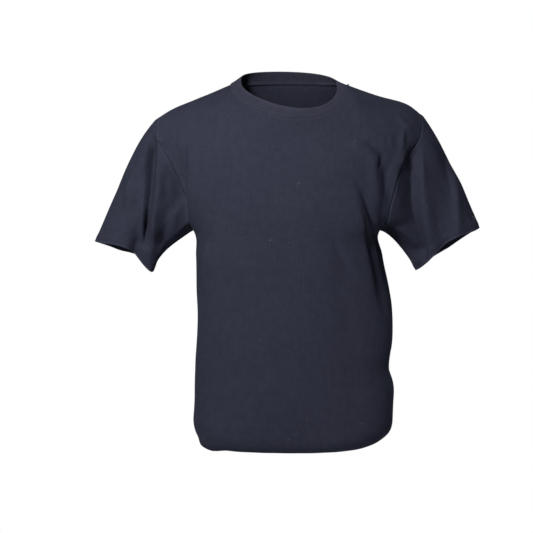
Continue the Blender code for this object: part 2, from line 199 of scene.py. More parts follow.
def ring_closed(grid: np.ndarray) -> np.ndarray:
    """A grid of rings with their first point once more at the end."""
    return np.concatenate((grid, grid[:, :1]), axis=1)


@dataclass(frozen=True)
class BodyForm:
    """The body's tube, its turned-under bottom, its shoulders and its neckline.

    A level is its height, its half widths to the wearer's right and left, its depths to the
    front and back, how square its ellipse is, and how far the armholes cut into it at the
    front and back, in degrees.
    """

    levels: tuple[tuple[float, ...], ...] = (
        (-0.6350, 0.1745, 0.1855, 0.114, 0.124, 2.80, 0, 0),
        (-0.6050, 0.1735, 0.1880, 0.116, 0.126, 2.80, 0, 0),
        (-0.5700, 0.1715, 0.1888, 0.118, 0.127, 2.70, 0, 0),
        (-0.5400, 0.1705, 0.1893, 0.119, 0.127, 2.60, 0, 0),
        (-0.5000, 0.1690, 0.1790, 0.120, 0.125, 2.50, 0, 0),
        (-0.4650, 0.1670, 0.1855, 0.121, 0.122, 2.45, 0, 0),
        (-0.4200, 0.1650, 0.1862, 0.122, 0.120, 2.45, 0, 0),
        (-0.3600, 0.1660, 0.1780, 0.124, 0.122, 2.40, 0, 0),
        (-0.3000, 0.1665, 0.1668, 0.127, 0.127, 2.40, 0, 0),
        (-0.2580, 0.1705, 0.1610, 0.128, 0.130, 2.40, 0, 0),
        (-0.2400, 0.1840, 0.1745, 0.128, 0.132, 2.40, 24, 21),
        (-0.2090, 0.2029, 0.1920, 0.127, 0.133, 2.40, 32, 27),
        (-0.1850, 0.2158, 0.2015, 0.124, 0.132, 2.40, 33, 28),
        (-0.1600, 0.2240, 0.2110, 0.120, 0.129, 2.35, 33, 28),
        (-0.1300, 0.2320, 0.2260, 0.112, 0.123, 2.30, 31, 26),
        (-0.1000, 0.2455, 0.2410, 0.100, 0.112, 2.25, 26, 21),
    )
    shoulder: tuple[tuple[float, ...], ...] = ((-0.2352, 0.0, -0.0595), (0.2345, 0.0, -0.0530))
    crown: tuple[float, float] = (0.0032, 0.0088)
    crown_at: float = 0.23
    neck_half: float = 0.1030
    neck_centre: float = -0.0030
    neck_front: float = 0.0800
    neck_front_fullness: float = 0.8
    neck_back: float = 0.0560
    neck_drop: float = 0.0560
    neck_drop_fullness: float = 1.05
    neck_back_rise: float = 0.0030
    neck_skew: float = 0.205
    rib_half: float = 0.0853
    rib_centre: float = -0.0005
    rib_front: float = 0.0700
    rib_back: float = 0.0470
    rib_drop: float = 0.0390
    rib_rise: float = 0.0226
    rib_rise_fullness: float = 0.5
    rib_tilt: float = 0.0050
    yoke_z: float = -0.1000
    yoke_step: float = 0.0100
    armpit_z: float = -0.2580
    upright_z: float = -0.6000
    curl_drop: float = 0.0455
    curl_inset: float = 0.0440
    curl_square: float = 2.8
    corner_inset: tuple[float, float] = (0.035, 0.070)
    hem_run: float = 0.0220
    hem_lift: float = 0.0060
    gathers: int = 14
    gather_lift: float = 0.0050
    ridge_slope: float = 0.30
    neck_rise_front: tuple[float, float, float] = (0.0, 0.62, 0.80)
    neck_rise_back: tuple[float, float, float] = (0.0, -0.35, 0.94)
    shoulder_share: float = 5 / 26

    def levels_at(self, z: np.ndarray) -> np.ndarray:
        """The levels at some heights, from smooth curves through the table.

        Args:
            z: the heights.

        Returns:
            A row of the table's values for each height.
        """
        table = np.array(self.levels)
        heights = table[:, Level.HEIGHT]
        cuts = slice(Level.CUT_FRONT, None)
        slopes = np.gradient(table, heights, axis=0)
        z = np.clip(z, heights[0], heights[-1])
        i = np.clip(np.searchsorted(heights, z, side="right") - 1, 0, len(heights) - 2)
        step = (heights[i + 1] - heights[i])[:, None]
        share = (z - heights[i])[:, None] / step
        found = hermite(table[i], table[i + 1], slopes[i] * step, slopes[i + 1] * step, share)
        found[:, cuts] = table[i][:, cuts] + (table[i + 1][:, cuts] - table[i][:, cuts]) * share
        return found

    def ring_points(self, levels: np.ndarray, angles: np.ndarray, face: Face, z: np.ndarray) -> np.ndarray:
        """Points of levels.

        Args:
            levels: a row of table values for each level.
            angles: a row of angles for each level, from 0 at +X over a quarter turn at the face.
            face: the half that the points lie on.
            z: the height of each point.

        Returns:
            A row of points for each level.
        """
        across = np.cos(angles)
        out = np.sin(angles)
        square = Level.SQUARE.of(levels)
        reach = (np.abs(across) ** square + np.abs(out) ** square) ** (-1.0 / square)
        half = np.where(across > 0, Level.LEFT.of(levels), Level.RIGHT.of(levels))
        depth = (Level.FRONT if face is Face.FRONT else Level.BACK).of(levels)
        return np.stack((half * across * reach, face.value * depth * out * reach, z + 0 * reach), axis=2)

    def upright_rows(self, face: Face, z: np.ndarray, shares: np.ndarray) -> np.ndarray:
        """Rows of a panel at upright levels, even round the tube below and across the chest above.

        Args:
            face: the panel.
            z: the height of each row.
            shares: where the columns lie, from 0 at the wearer's right to 1.

        Returns:
            A row of points for each height.
        """
        levels = self.levels_at(z)
        cut = np.radians((Level.CUT_FRONT if face is Face.FRONT else Level.CUT_BACK).of(levels))
        square = Level.SQUARE.of(levels)
        even = math.pi - cut + (2 * cut - math.pi) * shares
        reach = (np.cos(cut) ** square + np.sin(cut) ** square) ** (-1.0 / square)
        x = np.abs(2 * shares - 1) * np.cos(cut) * reach
        y = np.maximum(1 - x ** square, 0.0) ** (1 / square)
        across = np.arctan2(y, np.copysign(x, 2 * shares - 1))
        weight = smooth((z - self.armpit_z) / (self.yoke_z - self.armpit_z))[:, None]
        return self.ring_points(levels, even + (across - even) * weight, face, z[:, None])

    def turned_rows(self, face: Face, turn: np.ndarray, run: np.ndarray, shares: np.ndarray) -> np.ndarray:
        """Rows of a panel's turned-under bottom.

        Args:
            face: the panel.
            turn: how far round the curl each row lies, 0 to 1.
            run: how far it lies from there to the hem edge, 0 to 1.
            shares: where the columns lie.

        Returns:
            A row of points for each turn.
        """
        levels = np.repeat(self.levels_at(np.array([self.upright_z])), len(turn), axis=0)
        share = np.sin(turn * math.pi / 2)
        sink = self.curl_drop * share
        draw = 1 - np.sqrt(1 - share ** 2)
        square = 1 - np.clip(1 - share ** self.curl_square, 0.0, 1.0) ** (1 / self.curl_square)
        for size, inset, by in (
            (Level.RIGHT, self.corner_inset[0], draw),
            (Level.LEFT, self.corner_inset[1], draw),
            (Level.FRONT, self.curl_inset, square),
            (Level.BACK, self.curl_inset, square),
        ):
            levels[:, size] -= by * inset + self.hem_run * run
        angles = math.pi * (1 - shares) + 0 * run[:, None]
        wave = 0.5 - 0.5 * np.cos(self.gathers * angles)
        lift = (self.hem_lift + self.gather_lift * wave) * run[:, None]
        return self.ring_points(levels, angles, face, (self.upright_z - sink)[:, None] + lift)

    def shoulder_points(self, arm: Arm, share: np.ndarray) -> np.ndarray:
        """Points of a shoulder seam, from the sleeve (0) to the neck (1).

        Args:
            arm: the seam's arm.
            share: how far along it they lie.

        Returns:
            The points.
        """
        side = 0 if arm is Arm.RIGHT else 1
        start = np.array(self.shoulder[side])
        end = np.array((self.neck_centre + arm.value * self.neck_half, 0.0, 0.0))
        points = start + (end - start) * share[:, None]
        near = share / self.crown_at
        points[:, 2] += self.crown[side] * (near * np.exp(1 - near)) ** 2
        return points

    def neck_points(self, face: Face, angle: np.ndarray) -> np.ndarray:
        """Points of the neckline seam.

        Args:
            face: its half.
            angle: 0 at the wearer's left end of it, and half a turn at the right.

        Returns:
            The points.
        """
        x = self.neck_centre + self.neck_half * np.cos(angle)
        out = np.clip(np.sin(angle), 0.0, 1.0)
        if face is Face.BACK:
            return np.stack((x, self.neck_back * out, self.neck_back_rise * out), axis=1)
        low = np.clip(np.sin(angle + self.neck_skew * np.sin(angle)), 0.0, 1.0)
        y = -self.neck_front * out ** self.neck_front_fullness
        return np.stack((x, y, -self.neck_drop * low ** self.neck_drop_fullness), axis=1)

    def rib_points(self, face: Face, angle: np.ndarray) -> np.ndarray:
        """Points of the neck rib's free edge, beside the same angles of the neckline.

        Args:
            face: its half.
            angle: as for the neckline.

        Returns:
            The points.
        """
        x = self.rib_centre + self.rib_half * np.cos(angle)
        out = np.clip(np.sin(angle), 0.0, 1.0)
        if face is Face.BACK:
            tilt = -self.rib_tilt * np.cos(angle) * (1 - out / 2)
            rise = self.rib_rise * out ** self.rib_rise_fullness
            return np.stack((x, self.rib_back * out, tilt + rise), axis=1)
        low = np.clip(np.sin(angle + self.neck_skew * out), 0.0, 1.0)
        z = -self.rib_tilt * np.cos(angle) - self.rib_drop * low ** self.neck_drop_fullness
        return np.stack((x, -self.rib_front * out ** self.neck_front_fullness, z), axis=1)

    def top_edge(self, face: Face, shares: np.ndarray) -> np.ndarray:
        """Shoulder seam, neckline and shoulder seam of a panel.

        Args:
            face: the panel.
            shares: where the columns lie.

        Returns:
            The points.
        """
        side = self.shoulder_share
        right = shares < side
        left = shares > 1 - side
        angle = math.pi * (1 - np.clip((shares - side) / (1 - 2 * side), 0.0, 1.0))
        points = self.neck_points(face, angle)
        points[right] = self.shoulder_points(Arm.RIGHT, shares[right] / side)
        points[left] = self.shoulder_points(Arm.LEFT, (1 - shares[left]) / side)
        return points

    def yoke_rows(
        self, face: Face, base: np.ndarray, down: np.ndarray, shares: np.ndarray, rise: np.ndarray
    ) -> np.ndarray:
        """Rows from the yoke level up to the shoulder seams and the neckline.

        Args:
            face: the panel.
            base: the row at the yoke level.
            down: the row one step below it.
            shares: where the columns lie.
            rise: how far up each row lies, 0 to 1.

        Returns:
            A row of points for each rise.
        """
        top = self.top_edge(face, shares)
        side = self.shoulder_share
        neck = np.sin(np.clip((shares - side) / (1 - 2 * side), 0, 1) * math.pi)[:, None]
        beside = np.minimum(shares - side, 1 - side - shares) / side
        slope = (self.ridge_slope * smooth(1 + beside))[:, None]
        over = np.concatenate((0 * slope, -face.value + 0 * slope, slope), axis=1)
        up = np.array(self.neck_rise_front if face is Face.FRONT else self.neck_rise_back)
        arrive = over * (1 - neck) + up * neck
        length = np.linalg.norm(top - base, axis=1, keepdims=True)
        arrive[:, 0] = (top - base)[:, 0] / length[:, 0]
        leave = unit(base - down) * length
        return hermite(base, top, leave, unit(arrive) * length, rise[:, None, None])

    def panel(self, face: Face, rows: "PanelRows", shares: np.ndarray) -> np.ndarray:
        """A panel from its hem edge up to its shoulders and neckline.

        Args:
            face: the panel.
            rows: how its rows are spaced.
            shares: where its columns lie.

        Returns:
            A grid of points.
        """
        run = 1 - rows.hem[:-1]
        turn = 1 - rows.curl[:-1]
        low = self.turned_rows(face, 0 * run + 1, run, shares)
        curl = self.turned_rows(face, turn, 0 * turn, shares)
        z = self.upright_z + (self.armpit_z - self.upright_z) * rows.upright[:-1]
        upright = self.upright_rows(face, z, shares)
        z = self.armpit_z + (self.yoke_z - self.armpit_z) * rows.armhole
        armhole = self.upright_rows(face, z, shares)
        down = self.upright_rows(face, np.array([self.yoke_z - self.yoke_step]), shares)[0]
        yoke = self.yoke_rows(face, armhole[-1], down, shares, rows.yoke[1:])
        return np.concatenate((low, curl, upright, armhole, yoke))


@dataclass(frozen=True)
class PanelRows:
    """How the rows of a panel are spaced along each stretch of it."""

    hem: np.ndarray = field(default_factory=lambda: spaced(7))
    curl: np.ndarray = field(default_factory=lambda: spaced(22))
    upright: np.ndarray = field(default_factory=lambda: spaced(84))
    armhole: np.ndarray = field(default_factory=lambda: spaced(58))
    yoke: np.ndarray = field(default_factory=lambda: spaced(32, (), (0.022, 0.0145, 0.0075)))

    def armpit_row(self) -> int:
        """The row at which the armholes start."""
        return len(self.hem) + len(self.curl) + len(self.upright) - 3


@dataclass(frozen=True)
class SleeveForm:
    """A sleeve's form, with its angles in degrees.

    Attributes:
        over: how far below level it leaves the shoulder.
        under: how far below level it leaves the armpit.
        outer: x and z of its cuff's outer corner.
        inner: x and z of its cuff's inner corner.
        depth: half its cuff's depth.
        tip: how far the cuff's front tips up, for each metre of depth.
        lift: a wave of the cuff's edge, as its height, its angle and its half width.
        dip: a second wave.
        steepness: how far below level it runs into the cuff.
        lead: how far the directions of its ends carry, as a share of its length.
    """

    over: float
    under: float
    outer: tuple[float, float]
    inner: tuple[float, float]
    depth: float
    tip: float
    lift: tuple[float, float, float]
    dip: tuple[float, float, float]
    steepness: float = 63.0
    lead: float = 0.75

    def cuff(self, turns: np.ndarray) -> np.ndarray:
        """The cuff's edge.

        Args:
            turns: angles from 0 at its outer corner over the front.

        Returns:
            The points.
        """
        outer = np.array((self.outer[0], 0.0, self.outer[1]))
        inner = np.array((self.inner[0], 0.0, self.inner[1]))
        front = np.array((0.0, -1.0, self.tip)) * self.depth
        points = (
            (outer + inner) / 2
            + (outer - inner) / 2 * np.cos(turns)[:, None]
            + front * np.sin(turns)[:, None]
        )
        for height, at, half in (self.lift, self.dip):
            points[:, 2] += height * bell(np.degrees(turns), at, half)
        return points

    def rings(self, arm: Arm, loop: np.ndarray, shares: np.ndarray) -> np.ndarray:
        """Rings from the armhole to the cuff.

        Args:
            arm: the sleeve's arm.
            loop: the armhole, from the shoulder over the front and the armpit.
            shares: how far down the sleeve each ring lies.

        Returns:
            A grid of points, a row for each ring.
        """
        steps = np.linalg.norm(np.roll(loop, -1, axis=0) - loop, axis=1)
        turns = TURN * np.concatenate(((0.0,), np.cumsum(steps)[:-1])) / steps.sum()
        cuff = self.cuff(turns)
        length = np.linalg.norm(cuff - loop, axis=1, keepdims=True) * self.lead
        down = np.radians(self.over + (self.under - self.over) * (1 - np.cos(turns)) / 2)
        end = np.radians(self.steepness) + 0 * turns
        leave, arrive = (
            np.stack((arm.value * np.cos(a), 0 * a, -np.sin(a)), axis=1) * length for a in (down, end)
        )
        return hermite(loop, cuff, leave, arrive, shares[:, None, None])


@dataclass(frozen=True)
class Crease:
    """A soft ridge, or a trough if its height is negative, along a line drawn on one face.

    The line is points of x and z, given downwards. The half widths are those towards +X and
    towards -X. All three and the height are in millimetres. The fades are the shares of its
    length over which it comes and goes.
    """

    face: Face
    line: tuple[tuple[float, float], ...]
    halves: tuple[float, float]
    height: float
    fades: tuple[float, float] = (0.4, 0.4)
    profile: Profile = Profile.ROUND

    REACH = 3.0
    FACING = 3.0
    CORNER = 0.15

    def rounded(self) -> np.ndarray:
        """The line in metres, with its corners cut three times over."""
        line = np.array(self.line) * MM
        for _ in range(3):
            quarter = line[:-1] * 0.75 + line[1:] * 0.25
            three = line[:-1] * 0.25 + line[1:] * 0.75
            inner = np.stack((quarter, three), axis=1).reshape(-1, 2)
            line = np.concatenate((line[:1], inner[1:-1], line[-1:])) if len(line) > 2 else line
        return line

    def tent(self, away: np.ndarray) -> np.ndarray:
        """Straight flanks that fall from 1 at its line to 0, with rounded corners.

        Args:
            away: distances from the line, in half widths.

        Returns:
            A height for each.
        """
        before, after = (
            np.sign(at) * np.where(np.abs(at) < 1, np.abs(at) - at * at / 2, 0.5)
            for at in (away - self.CORNER, away + self.CORNER)
        )
        return (after - before) / (2 * self.CORNER)

    def lift(self, points: np.ndarray, normals: np.ndarray) -> np.ndarray:
        """How far it moves points of the cloth along their normals.

        Args:
            points: points of the cloth.
            normals: their normals.

        Returns:
            A height for each point.
        """
        heights = np.zeros(len(points))
        line = self.rounded()
        halves = np.array(self.halves) * MM
        margin = self.REACH * halves.max()
        spots = points[:, (0, 2)]
        low = line.min(axis=0) - margin
        high = line.max(axis=0) + margin
        facing = normals[:, 1] * self.face.value
        near = np.nonzero((facing > 0) & np.all((spots > low) & (spots < high), axis=1))[0]
        spots = spots[near]
        steps = np.diff(line, axis=0)
        sizes = np.linalg.norm(steps, axis=1)
        total = sizes.sum()
        best = np.full(len(near), np.inf)
        side = np.zeros(len(near))
        along = np.zeros(len(near))
        for start, step, size, before in zip(line, steps, sizes, np.cumsum(sizes) - sizes):
            away = spots - start
            share = np.clip(away @ step / size ** 2, 0.0, 1.0)
            apart = away - share[:, None] * step
            distance = np.linalg.norm(apart, axis=1)
            closer = distance < best
            best[closer] = distance[closer]
            side[closer] = (step[0] * apart[:, 1] - step[1] * apart[:, 0])[closer]
            along[closer] = ((before + share * size) / total)[closer]
        away = best / np.where(side > 0, halves[0], halves[1])
        profile = np.exp(-(away ** 2)) if self.profile is Profile.ROUND else self.tent(away)
        profile *= smooth(facing[near] * self.FACING)
        if self.fades[0] > 0:
            profile *= smooth(along / self.fades[0])
        if self.fades[1] > 0:
            profile *= smooth((1 - along) / self.fades[1])
        heights[near] = self.height * MM * profile
        return heights


def fold(
    face: Face, x0: float, z0: float, x1: float, z1: float, bow: float, half: float, height: float,
    fade0: float, fade1: float,
) -> Crease:
    """A large fold between two points, as the solids have it, with its sizes in millimetres.

    Args:
        face: the face it is on.
        x0: x of its start.
        z0: z of its start.
        x1: x of its end.
        z1: z of its end.
        bow: how far its middle stands off the straight line.
        half: half its width.
        height: its height.
        fade0: the share of it that fades at its start.
        fade1: the share of it that fades at its end.

    Returns:
        The fold as a crease.
    """
    start = np.array((x0, z0))
    line = np.array((x1, z1)) - start
    aside = np.array((-line[1], line[0])) / np.linalg.norm(line)
    points = tuple(
        tuple(start + line * share + aside * bow * 4 * share * (1 - share))
        for share in ((0.0, 1.0) if bow == 0 else (0.0, 0.2, 0.4, 0.6, 0.8, 1.0))
    )
    return Crease(face, points, (half, half), height, (fade0, fade1))


def on_face(face: Face, make: Callable[..., Crease], *rows: tuple) -> tuple[Crease, ...]:
    """Creases or folds of one face.

    Args:
        face: the face.
        make: what makes one of them.
        rows: for each, the values after its face.

    Returns:
        The creases.
    """
    return tuple(make(face, *row) for row in rows)


FOLDS = (
    *on_face(
        Face.FRONT, fold,
        (-188, -128, -184, -262, 0, 13, -9, 0.4, 0.3),
        (181, -122, 184, -252, -3, 14, -10, 0.4, 0.3),
        (112, -160, 180, -470, 22, 13, 6, 0.4, 0.4),
        (140, -190, 194, -440, 20, 14, -7, 0.4, 0.4),
        (158, -140, 160, -262, 0, 12, 4, 0.4, 0.4),
        (-128, -215, -153, -410, -4, 13, 4.5, 0.5, 0.5),
        (-146, -250, -163, -460, 0, 12, -4, 0.5, 0.5),
        (96, -90, 152, -118, -4, 9, 3.5, 0.5, 0.4),
        (74, -262, 122, -362, 2, 14, -3, 0.5, 0.5),
        (-168, -632, -107, -655, -4, 14, 7.5, 0.25, 0.5),
        (-247, -90, -271, -345, -2, 13, -15, 0.4, 0.0),
        (-236, -120, -250, -345, -4, 12, 7, 0.4, 0.0),
        (-274, -150, -292, -250, 4, 13, 5.5, 0.4, 0.5),
        (-215, -170, -222, -300, 2, 12, -6, 0.5, 0.2),
        (223, -95, 258, -345, 0, 13, 8, 0.3, 0.0),
        (250, -130, 277, -330, 2, 13, -12, 0.4, 0.0),
        (281, -150, 300, -300, 0, 12, 5, 0.4, 0.0),
        (206, -150, 226, -330, 0, 13, -7, 0.4, 0.0),
    ),
    *on_face(
        Face.BACK, fold,
        (-190, -130, -178, -262, 0, 15, -8, 0.4, 0.3),
        (190, -130, 178, -262, 0, 15, -8, 0.4, 0.3),
        (-120, -180, -168, -440, -18, 15, 6, 0.4, 0.4),
        (130, -200, 172, -420, 16, 15, 5.5, 0.4, 0.4),
        (-60, -330, 20, -560, 10, 20, -4, 0.5, 0.5),
        (80, -380, 50, -580, -8, 18, 4, 0.5, 0.5),
        (-235, -120, -285, -320, 0, 15, 6, 0.4, 0.0),
        (-262, -120, -312, -300, 0, 14, -6, 0.4, 0.0),
        (232, -120, 268, -330, 0, 15, 6, 0.4, 0.0),
        (262, -130, 298, -300, 0, 14, -6, 0.4, 0.0),
    ),
)

CREASES = (
    *on_face(
        Face.FRONT, Crease,
        # wearer's left of the chest: its edge, the armhole filled out again, and small crests above
        (((138, -96), (143, -112), (146, -133), (145.5, -173), (149, -203), (158, -226)), (20, 14), 4,
         (0.3, 0.3), Profile.PLANE),
        (((160, -108), (165, -135), (166, -173), (168, -200), (172, -225)), (20, 19), -5, (0.3, 0.3),
         Profile.PLANE),
        (((208, -92), (203, -110), (196, -128), (188, -148)), (12, 14), 6, (0.3, 0.5)),
        (((202, -110), (194, -130), (185, -155), (178, -180), (174, -205), (172, -250)), (44, 16), 11,
         (0.2, 0.15), Profile.PLANE),
        (((130.5, -87.5), (144.5, -106.5), (157, -113.5), (167.5, -124)), (4, 5.5), -3, (0.4, 0.35)),
        (((157, -112), (158, -128), (155, -145)), (7, 3.5), -3.5),
        (((159, -87), (164, -106)), (3, 3), 1.8),
        (((174.7, -85), (176.7, -108)), (3, 3), 1.8),
        (((181.5, -48), (191.5, -58), (205, -71.5), (215.3, -85)), (4.5, 4.5), 2.8),
        (((197.5, -70), (195, -95), (193, -118)), (4, 4), 4),
        # the long drag line down the wearer's left side, with the flat front beside it
        (((95, -148), (109.5, -177), (119, -214), (124, -239), (127, -278), (138.5, -327), (151.5, -389),
         (160.5, -434)), (10, 50), 9, (0.4, 0.45), Profile.PLANE),
        (((104, -146), (109.5, -155), (126, -183), (138, -218), (148, -249.5), (158, -286), (166.5, -332),
         (178, -387)), (9, 7), -8, (0.4, 0.4), Profile.PLANE),
        # wearer's right of the chest: the deep edge where it stands before the arm, and the waist
        (((-178, -92), (-178, -106), (-180, -136), (-182, -173), (-182, -204), (-180, -225), (-180, -250)),
         (5, 36), -21, (0.5, 0.4), Profile.PLANE),
        (((-135, -215), (-137, -250), (-137, -290), (-140, -350)), (45, 22), 7, (0.4, 0.5)),
        (((-121.5, -205), (-133, -245), (-143, -285), (-151, -322), (-157.3, -377)), (2.8, 4.5), -2.6,
         (0.3, 0.4)),
        (((-117, -203), (-128, -245), (-138, -284), (-145, -320), (-153, -376), (-158, -423)), (7, 2.8), 3,
         (0.3, 0.4)),
        (((-107.7, -220), (-121, -282), (-126.5, -318), (-136, -372), (-144, -427)), (10, 5), 2.6),
        (((-195, -86), (-199.6, -98), (-196, -112), (-198, -134)), (2.5, 2.5), -2.4),
        # the flat front's soft edges at both sides
        (((-150, -250), (-152, -300), (-152, -360), (-151, -420), (-155, -500), (-158, -570), (-160, -630)),
         (60, 14), 3, (0.2, 0.15), Profile.PLANE),
        (((160, -340), (168, -400), (170, -455), (165, -500), (172, -540), (173, -630)), (14, 60), 9,
         (0.3, 0.15), Profile.PLANE),
        # faint lines on the lower body and the chest
        (((70, -253), (92, -293), (113, -330.5)), (3, 6), -2),
        (((78, -250), (100, -290), (121, -327.5)), (8, 4), 1.8),
        (((-5, -601), (42.5, -597)), (3, 3), -0.8),
        (((-88.5, -97.6), (-80, -121)), (3, 3), 0.8),
        # sleeve on the wearer's right: its upper valley laid nearer the body, the facet and the inner slope
        (((-244, -80), (-241.5, -95), (-240, -115), (-241.5, -139), (-244, -165), (-244.5, -190),
         (-247.5, -218), (-249.5, -245), (-250, -270), (-253, -292)), (12, 7), -20, (0.2, 0.2),
         Profile.PLANE),
        (((-247.5, -215), (-249.5, -245), (-250, -270), (-253, -292)), (8, 26), -6.5, (0.4, 0.2),
         Profile.PLANE),
        (((-242, -95), (-256, -135), (-272, -163), (-278.5, -188), (-280, -206), (-275, -223)), (26, 12),
         11, (0.3, 0.3), Profile.PLANE),
        (((-291, -158), (-299, -184), (-302, -201)), (10, 10), -4),
        (((-273, -208), (-262, -204.5)), (3, 3), -2),
        (((-289, -230), (-284, -242)), (2.5, 2.5), -1.5),
        (((-241, -77), (-229.5, -90.5), (-221, -107)), (4.5, 3.5), 4),
        (((-226, -100), (-225, -139), (-225, -173), (-230, -210), (-238, -241.5), (-245, -277)), (30, 9),
         13, (0.3, 0.2), Profile.PLANE),
        (((-213.5, -137), (-214.5, -172), (-218, -212)), (7.5, 5), -3.5),
        (((-196.4, -207), (-203.4, -242), (-219, -279)), (8, 8), 3),
        # sleeve on the wearer's left: the dark plane beside the armhole, the bright ridge and the outer plane
        (((224, -88), (220, -109), (218.5, -149), (218, -193.5), (221, -225), (229, -260), (234, -290),
         (238, -315)), (12, 42), -22, (0.3, 0.1), Profile.PLANE),
        (((211, -85), (221, -123), (226, -153), (232, -193), (241.5, -240), (253.5, -275)), (14, 8), 3,
         (0.2, 0.2), Profile.PLANE),
        (((270, -95), (280, -149), (284, -191.5), (286, -242), (287, -270)), (7, 38), -7, (0.35, 0.25),
         Profile.PLANE),
        (((270, -122), (287, -150), (298, -175), (308, -200), (318, -225), (325, -252), (333, -275)),
         (24, 26), 6, (0.4, 0.15), Profile.PLANE),
    ),
    # large folds taken back at the armholes and on the sleeves, where creases stand in for them
    *on_face(
        Face.FRONT, fold,
        (181, -122, 184, -252, -3, 14, 10, 0.4, 0.3),
        (-188, -128, -184, -262, 0, 13, 9, 0.4, 0.3),
        (-247, -90, -268, -310, -2, 13, 14, 0.45, 0.35),
        (206, -150, 226, -330, 0, 13, 6, 0.4, 0.3),
        (223, -95, 258, -345, 0, 13, -6, 0.3, 0.3),
        (250, -130, 275, -310, 2, 13, 11, 0.4, 0.35),
    ),
    *on_face(
        Face.BACK, Crease,
        # the back: soft edges beside the arms
        (((-150, -120), (-140, -170), (-138, -230), (-146, -300)), (20, 12), 6.4, (0.4, 0.4),
         Profile.PLANE),
        (((-172, -130), (-168, -175), (-168, -230)), (12, 12), -9.6),
        (((146, -105), (150, -150), (146, -210), (152, -270)), (12, 22), 5.6, (0.4, 0.4), Profile.PLANE),
        (((170, -140), (172, -190), (170, -240)), (12, 12), -8.8),
        # the back: drag lines down both sides, and faint lines between them and below the neck
        (((-100, -200), (-118, -300), (-140, -400)), (10, 22), 7.2, (0.4, 0.5), Profile.PLANE),
        (((95, -240), (120, -330), (146, -430)), (20, 10), 7.2, (0.4, 0.5), Profile.PLANE),
        (((-124, -250), (-140, -320), (-152, -370)), (6, 6), -4.8),
        (((120, -170), (133, -230), (146, -310)), (6, 8), -4.8),
        (((-40, -150), (-30, -215)), (5, 7), -1.9),
        (((30, -350), (60, -420)), (6, 9), -2.9),
        (((-60, -470), (-30, -540)), (8, 6), 2.6),
        (((-60, -52), (0, -60), (60, -53)), (5, 5), -2.4),
        # the sleeves' backs: a valley and an outer plane on each
        (((-252, -120), (-262, -170), (-270, -230)), (10, 18), -11.2, (0.4, 0.4), Profile.PLANE),
        (((246, -120), (252, -180), (256, -240)), (16, 10), -11.2, (0.4, 0.4), Profile.PLANE),
        (((262, -110), (275, -170), (290, -230)), (20, 10), 6.4, (0.4, 0.4), Profile.PLANE),
        (((-270, -120), (-285, -170), (-300, -220)), (10, 20), 6.4, (0.4, 0.4), Profile.PLANE),
    ),
)


@dataclass
class Patch:
    """A cut piece of the cloth as a grid of points, which closes into a ring if it is a tube.

    Attributes:
        name: the piece's name.
        grid: its points.
        closed: whether its rows are rings.
        flip: whether its quads are wound the other way to face out.
        ids: the cloth's number of each of its points.
    """

    name: str
    grid: np.ndarray
    closed: bool
    flip: bool
    ids: np.ndarray = field(default_factory=lambda: np.zeros(0, int))

    def quads(self) -> np.ndarray:
        """Grid numbers of each quad, wound to face out of the shirt."""
        return grid_quads(*self.grid.shape[:2], self.closed, self.flip)


def grid_quads(rows: int, columns: int, closed: bool, flip: bool) -> np.ndarray:
    """Point numbers of the quads of a grid.

    Args:
        rows: how many rows of points.
        columns: how many points in a row.
        closed: whether rows are rings.
        flip: whether to wind them the other way.

    Returns:
        Four point numbers for each quad.
    """
    i, j = np.meshgrid(np.arange(rows - 1), np.arange(columns if closed else columns - 1), indexing="ij")
    k = (j + 1) % columns
    corners = (i * columns + j, i * columns + k, (i + 1) * columns + k, (i + 1) * columns + j)
    quads = np.stack([corner.ravel() for corner in corners], axis=1)
    return quads[:, ::-1] if flip else quads


def wrapped(numbers: np.ndarray, past: int) -> np.ndarray:
    """Row or column numbers of the corners of faces, which run on where faces close a ring.

    Args:
        numbers: the numbers, a row for each face.
        past: the number after the last.

    Returns:
        The numbers, with 0 made the one after the last in faces that close the ring.
    """
    closes = (numbers.max(axis=1) - numbers.min(axis=1) > 1)[:, None] & (numbers == 0)
    return np.where(closes, past, numbers)


def smooth_object(name: str, points: np.ndarray, faces: list[list[int]]) -> bpy.types.Object:
    """Puts a smoothly shaded object in the scene.

    Args:
        name: its name.
        points: its points, in any grid.
        faces: the point numbers of its faces.

    Returns:
        The object.
    """
    mesh = bpy.data.meshes.new(name)
    mesh.from_pydata(points.reshape(-1, 3), [], faces)
    mesh.update()
    mesh.shade_smooth()
    made = bpy.data.objects.new(name, mesh)
    bpy.context.scene.collection.objects.link(made)
    return made


def write_maps(mesh: bpy.types.Mesh, pattern: np.ndarray, worn: np.ndarray) -> None:
    """Writes the maps that the knitted finish reads.

    Args:
        mesh: the mesh.
        pattern: the place on the flat cloth of each corner of each face.
        worn: how rubbed each point is, with a painted highlight on seam ridges and folds.
    """
    layer = mesh.uv_layers.new(name=PATTERN)
    layer.data.foreach_set("uv", pattern.reshape(-1).astype(np.float32))
    # rubbed places, with a painted highlight on seam ridges and folds
    rubbed = mesh.attributes.new(WEAR_AND_HIGHLIGHT_MAP, "FLOAT", "POINT")
    rubbed.data.foreach_set("value", worn.astype(np.float32))


def fold_round(grid: np.ndarray, normals: np.ndarray, angles: np.ndarray) -> np.ndarray:
    """Directions out of the round of a fold at the last row of a cloth grid.

    Args:
        grid: the grid.
        normals: its normals.
        angles: how far round the fold each row of directions lies.

    Returns:
        A row of directions for each angle.
    """
    out = unit(grid[-1] - grid[-3])
    out = unit(out - normals[-1] * np.sum(out * normals[-1], axis=1, keepdims=True))
    return np.array([normals[-1] * math.cos(angle) + out * math.sin(angle) for angle in angles])


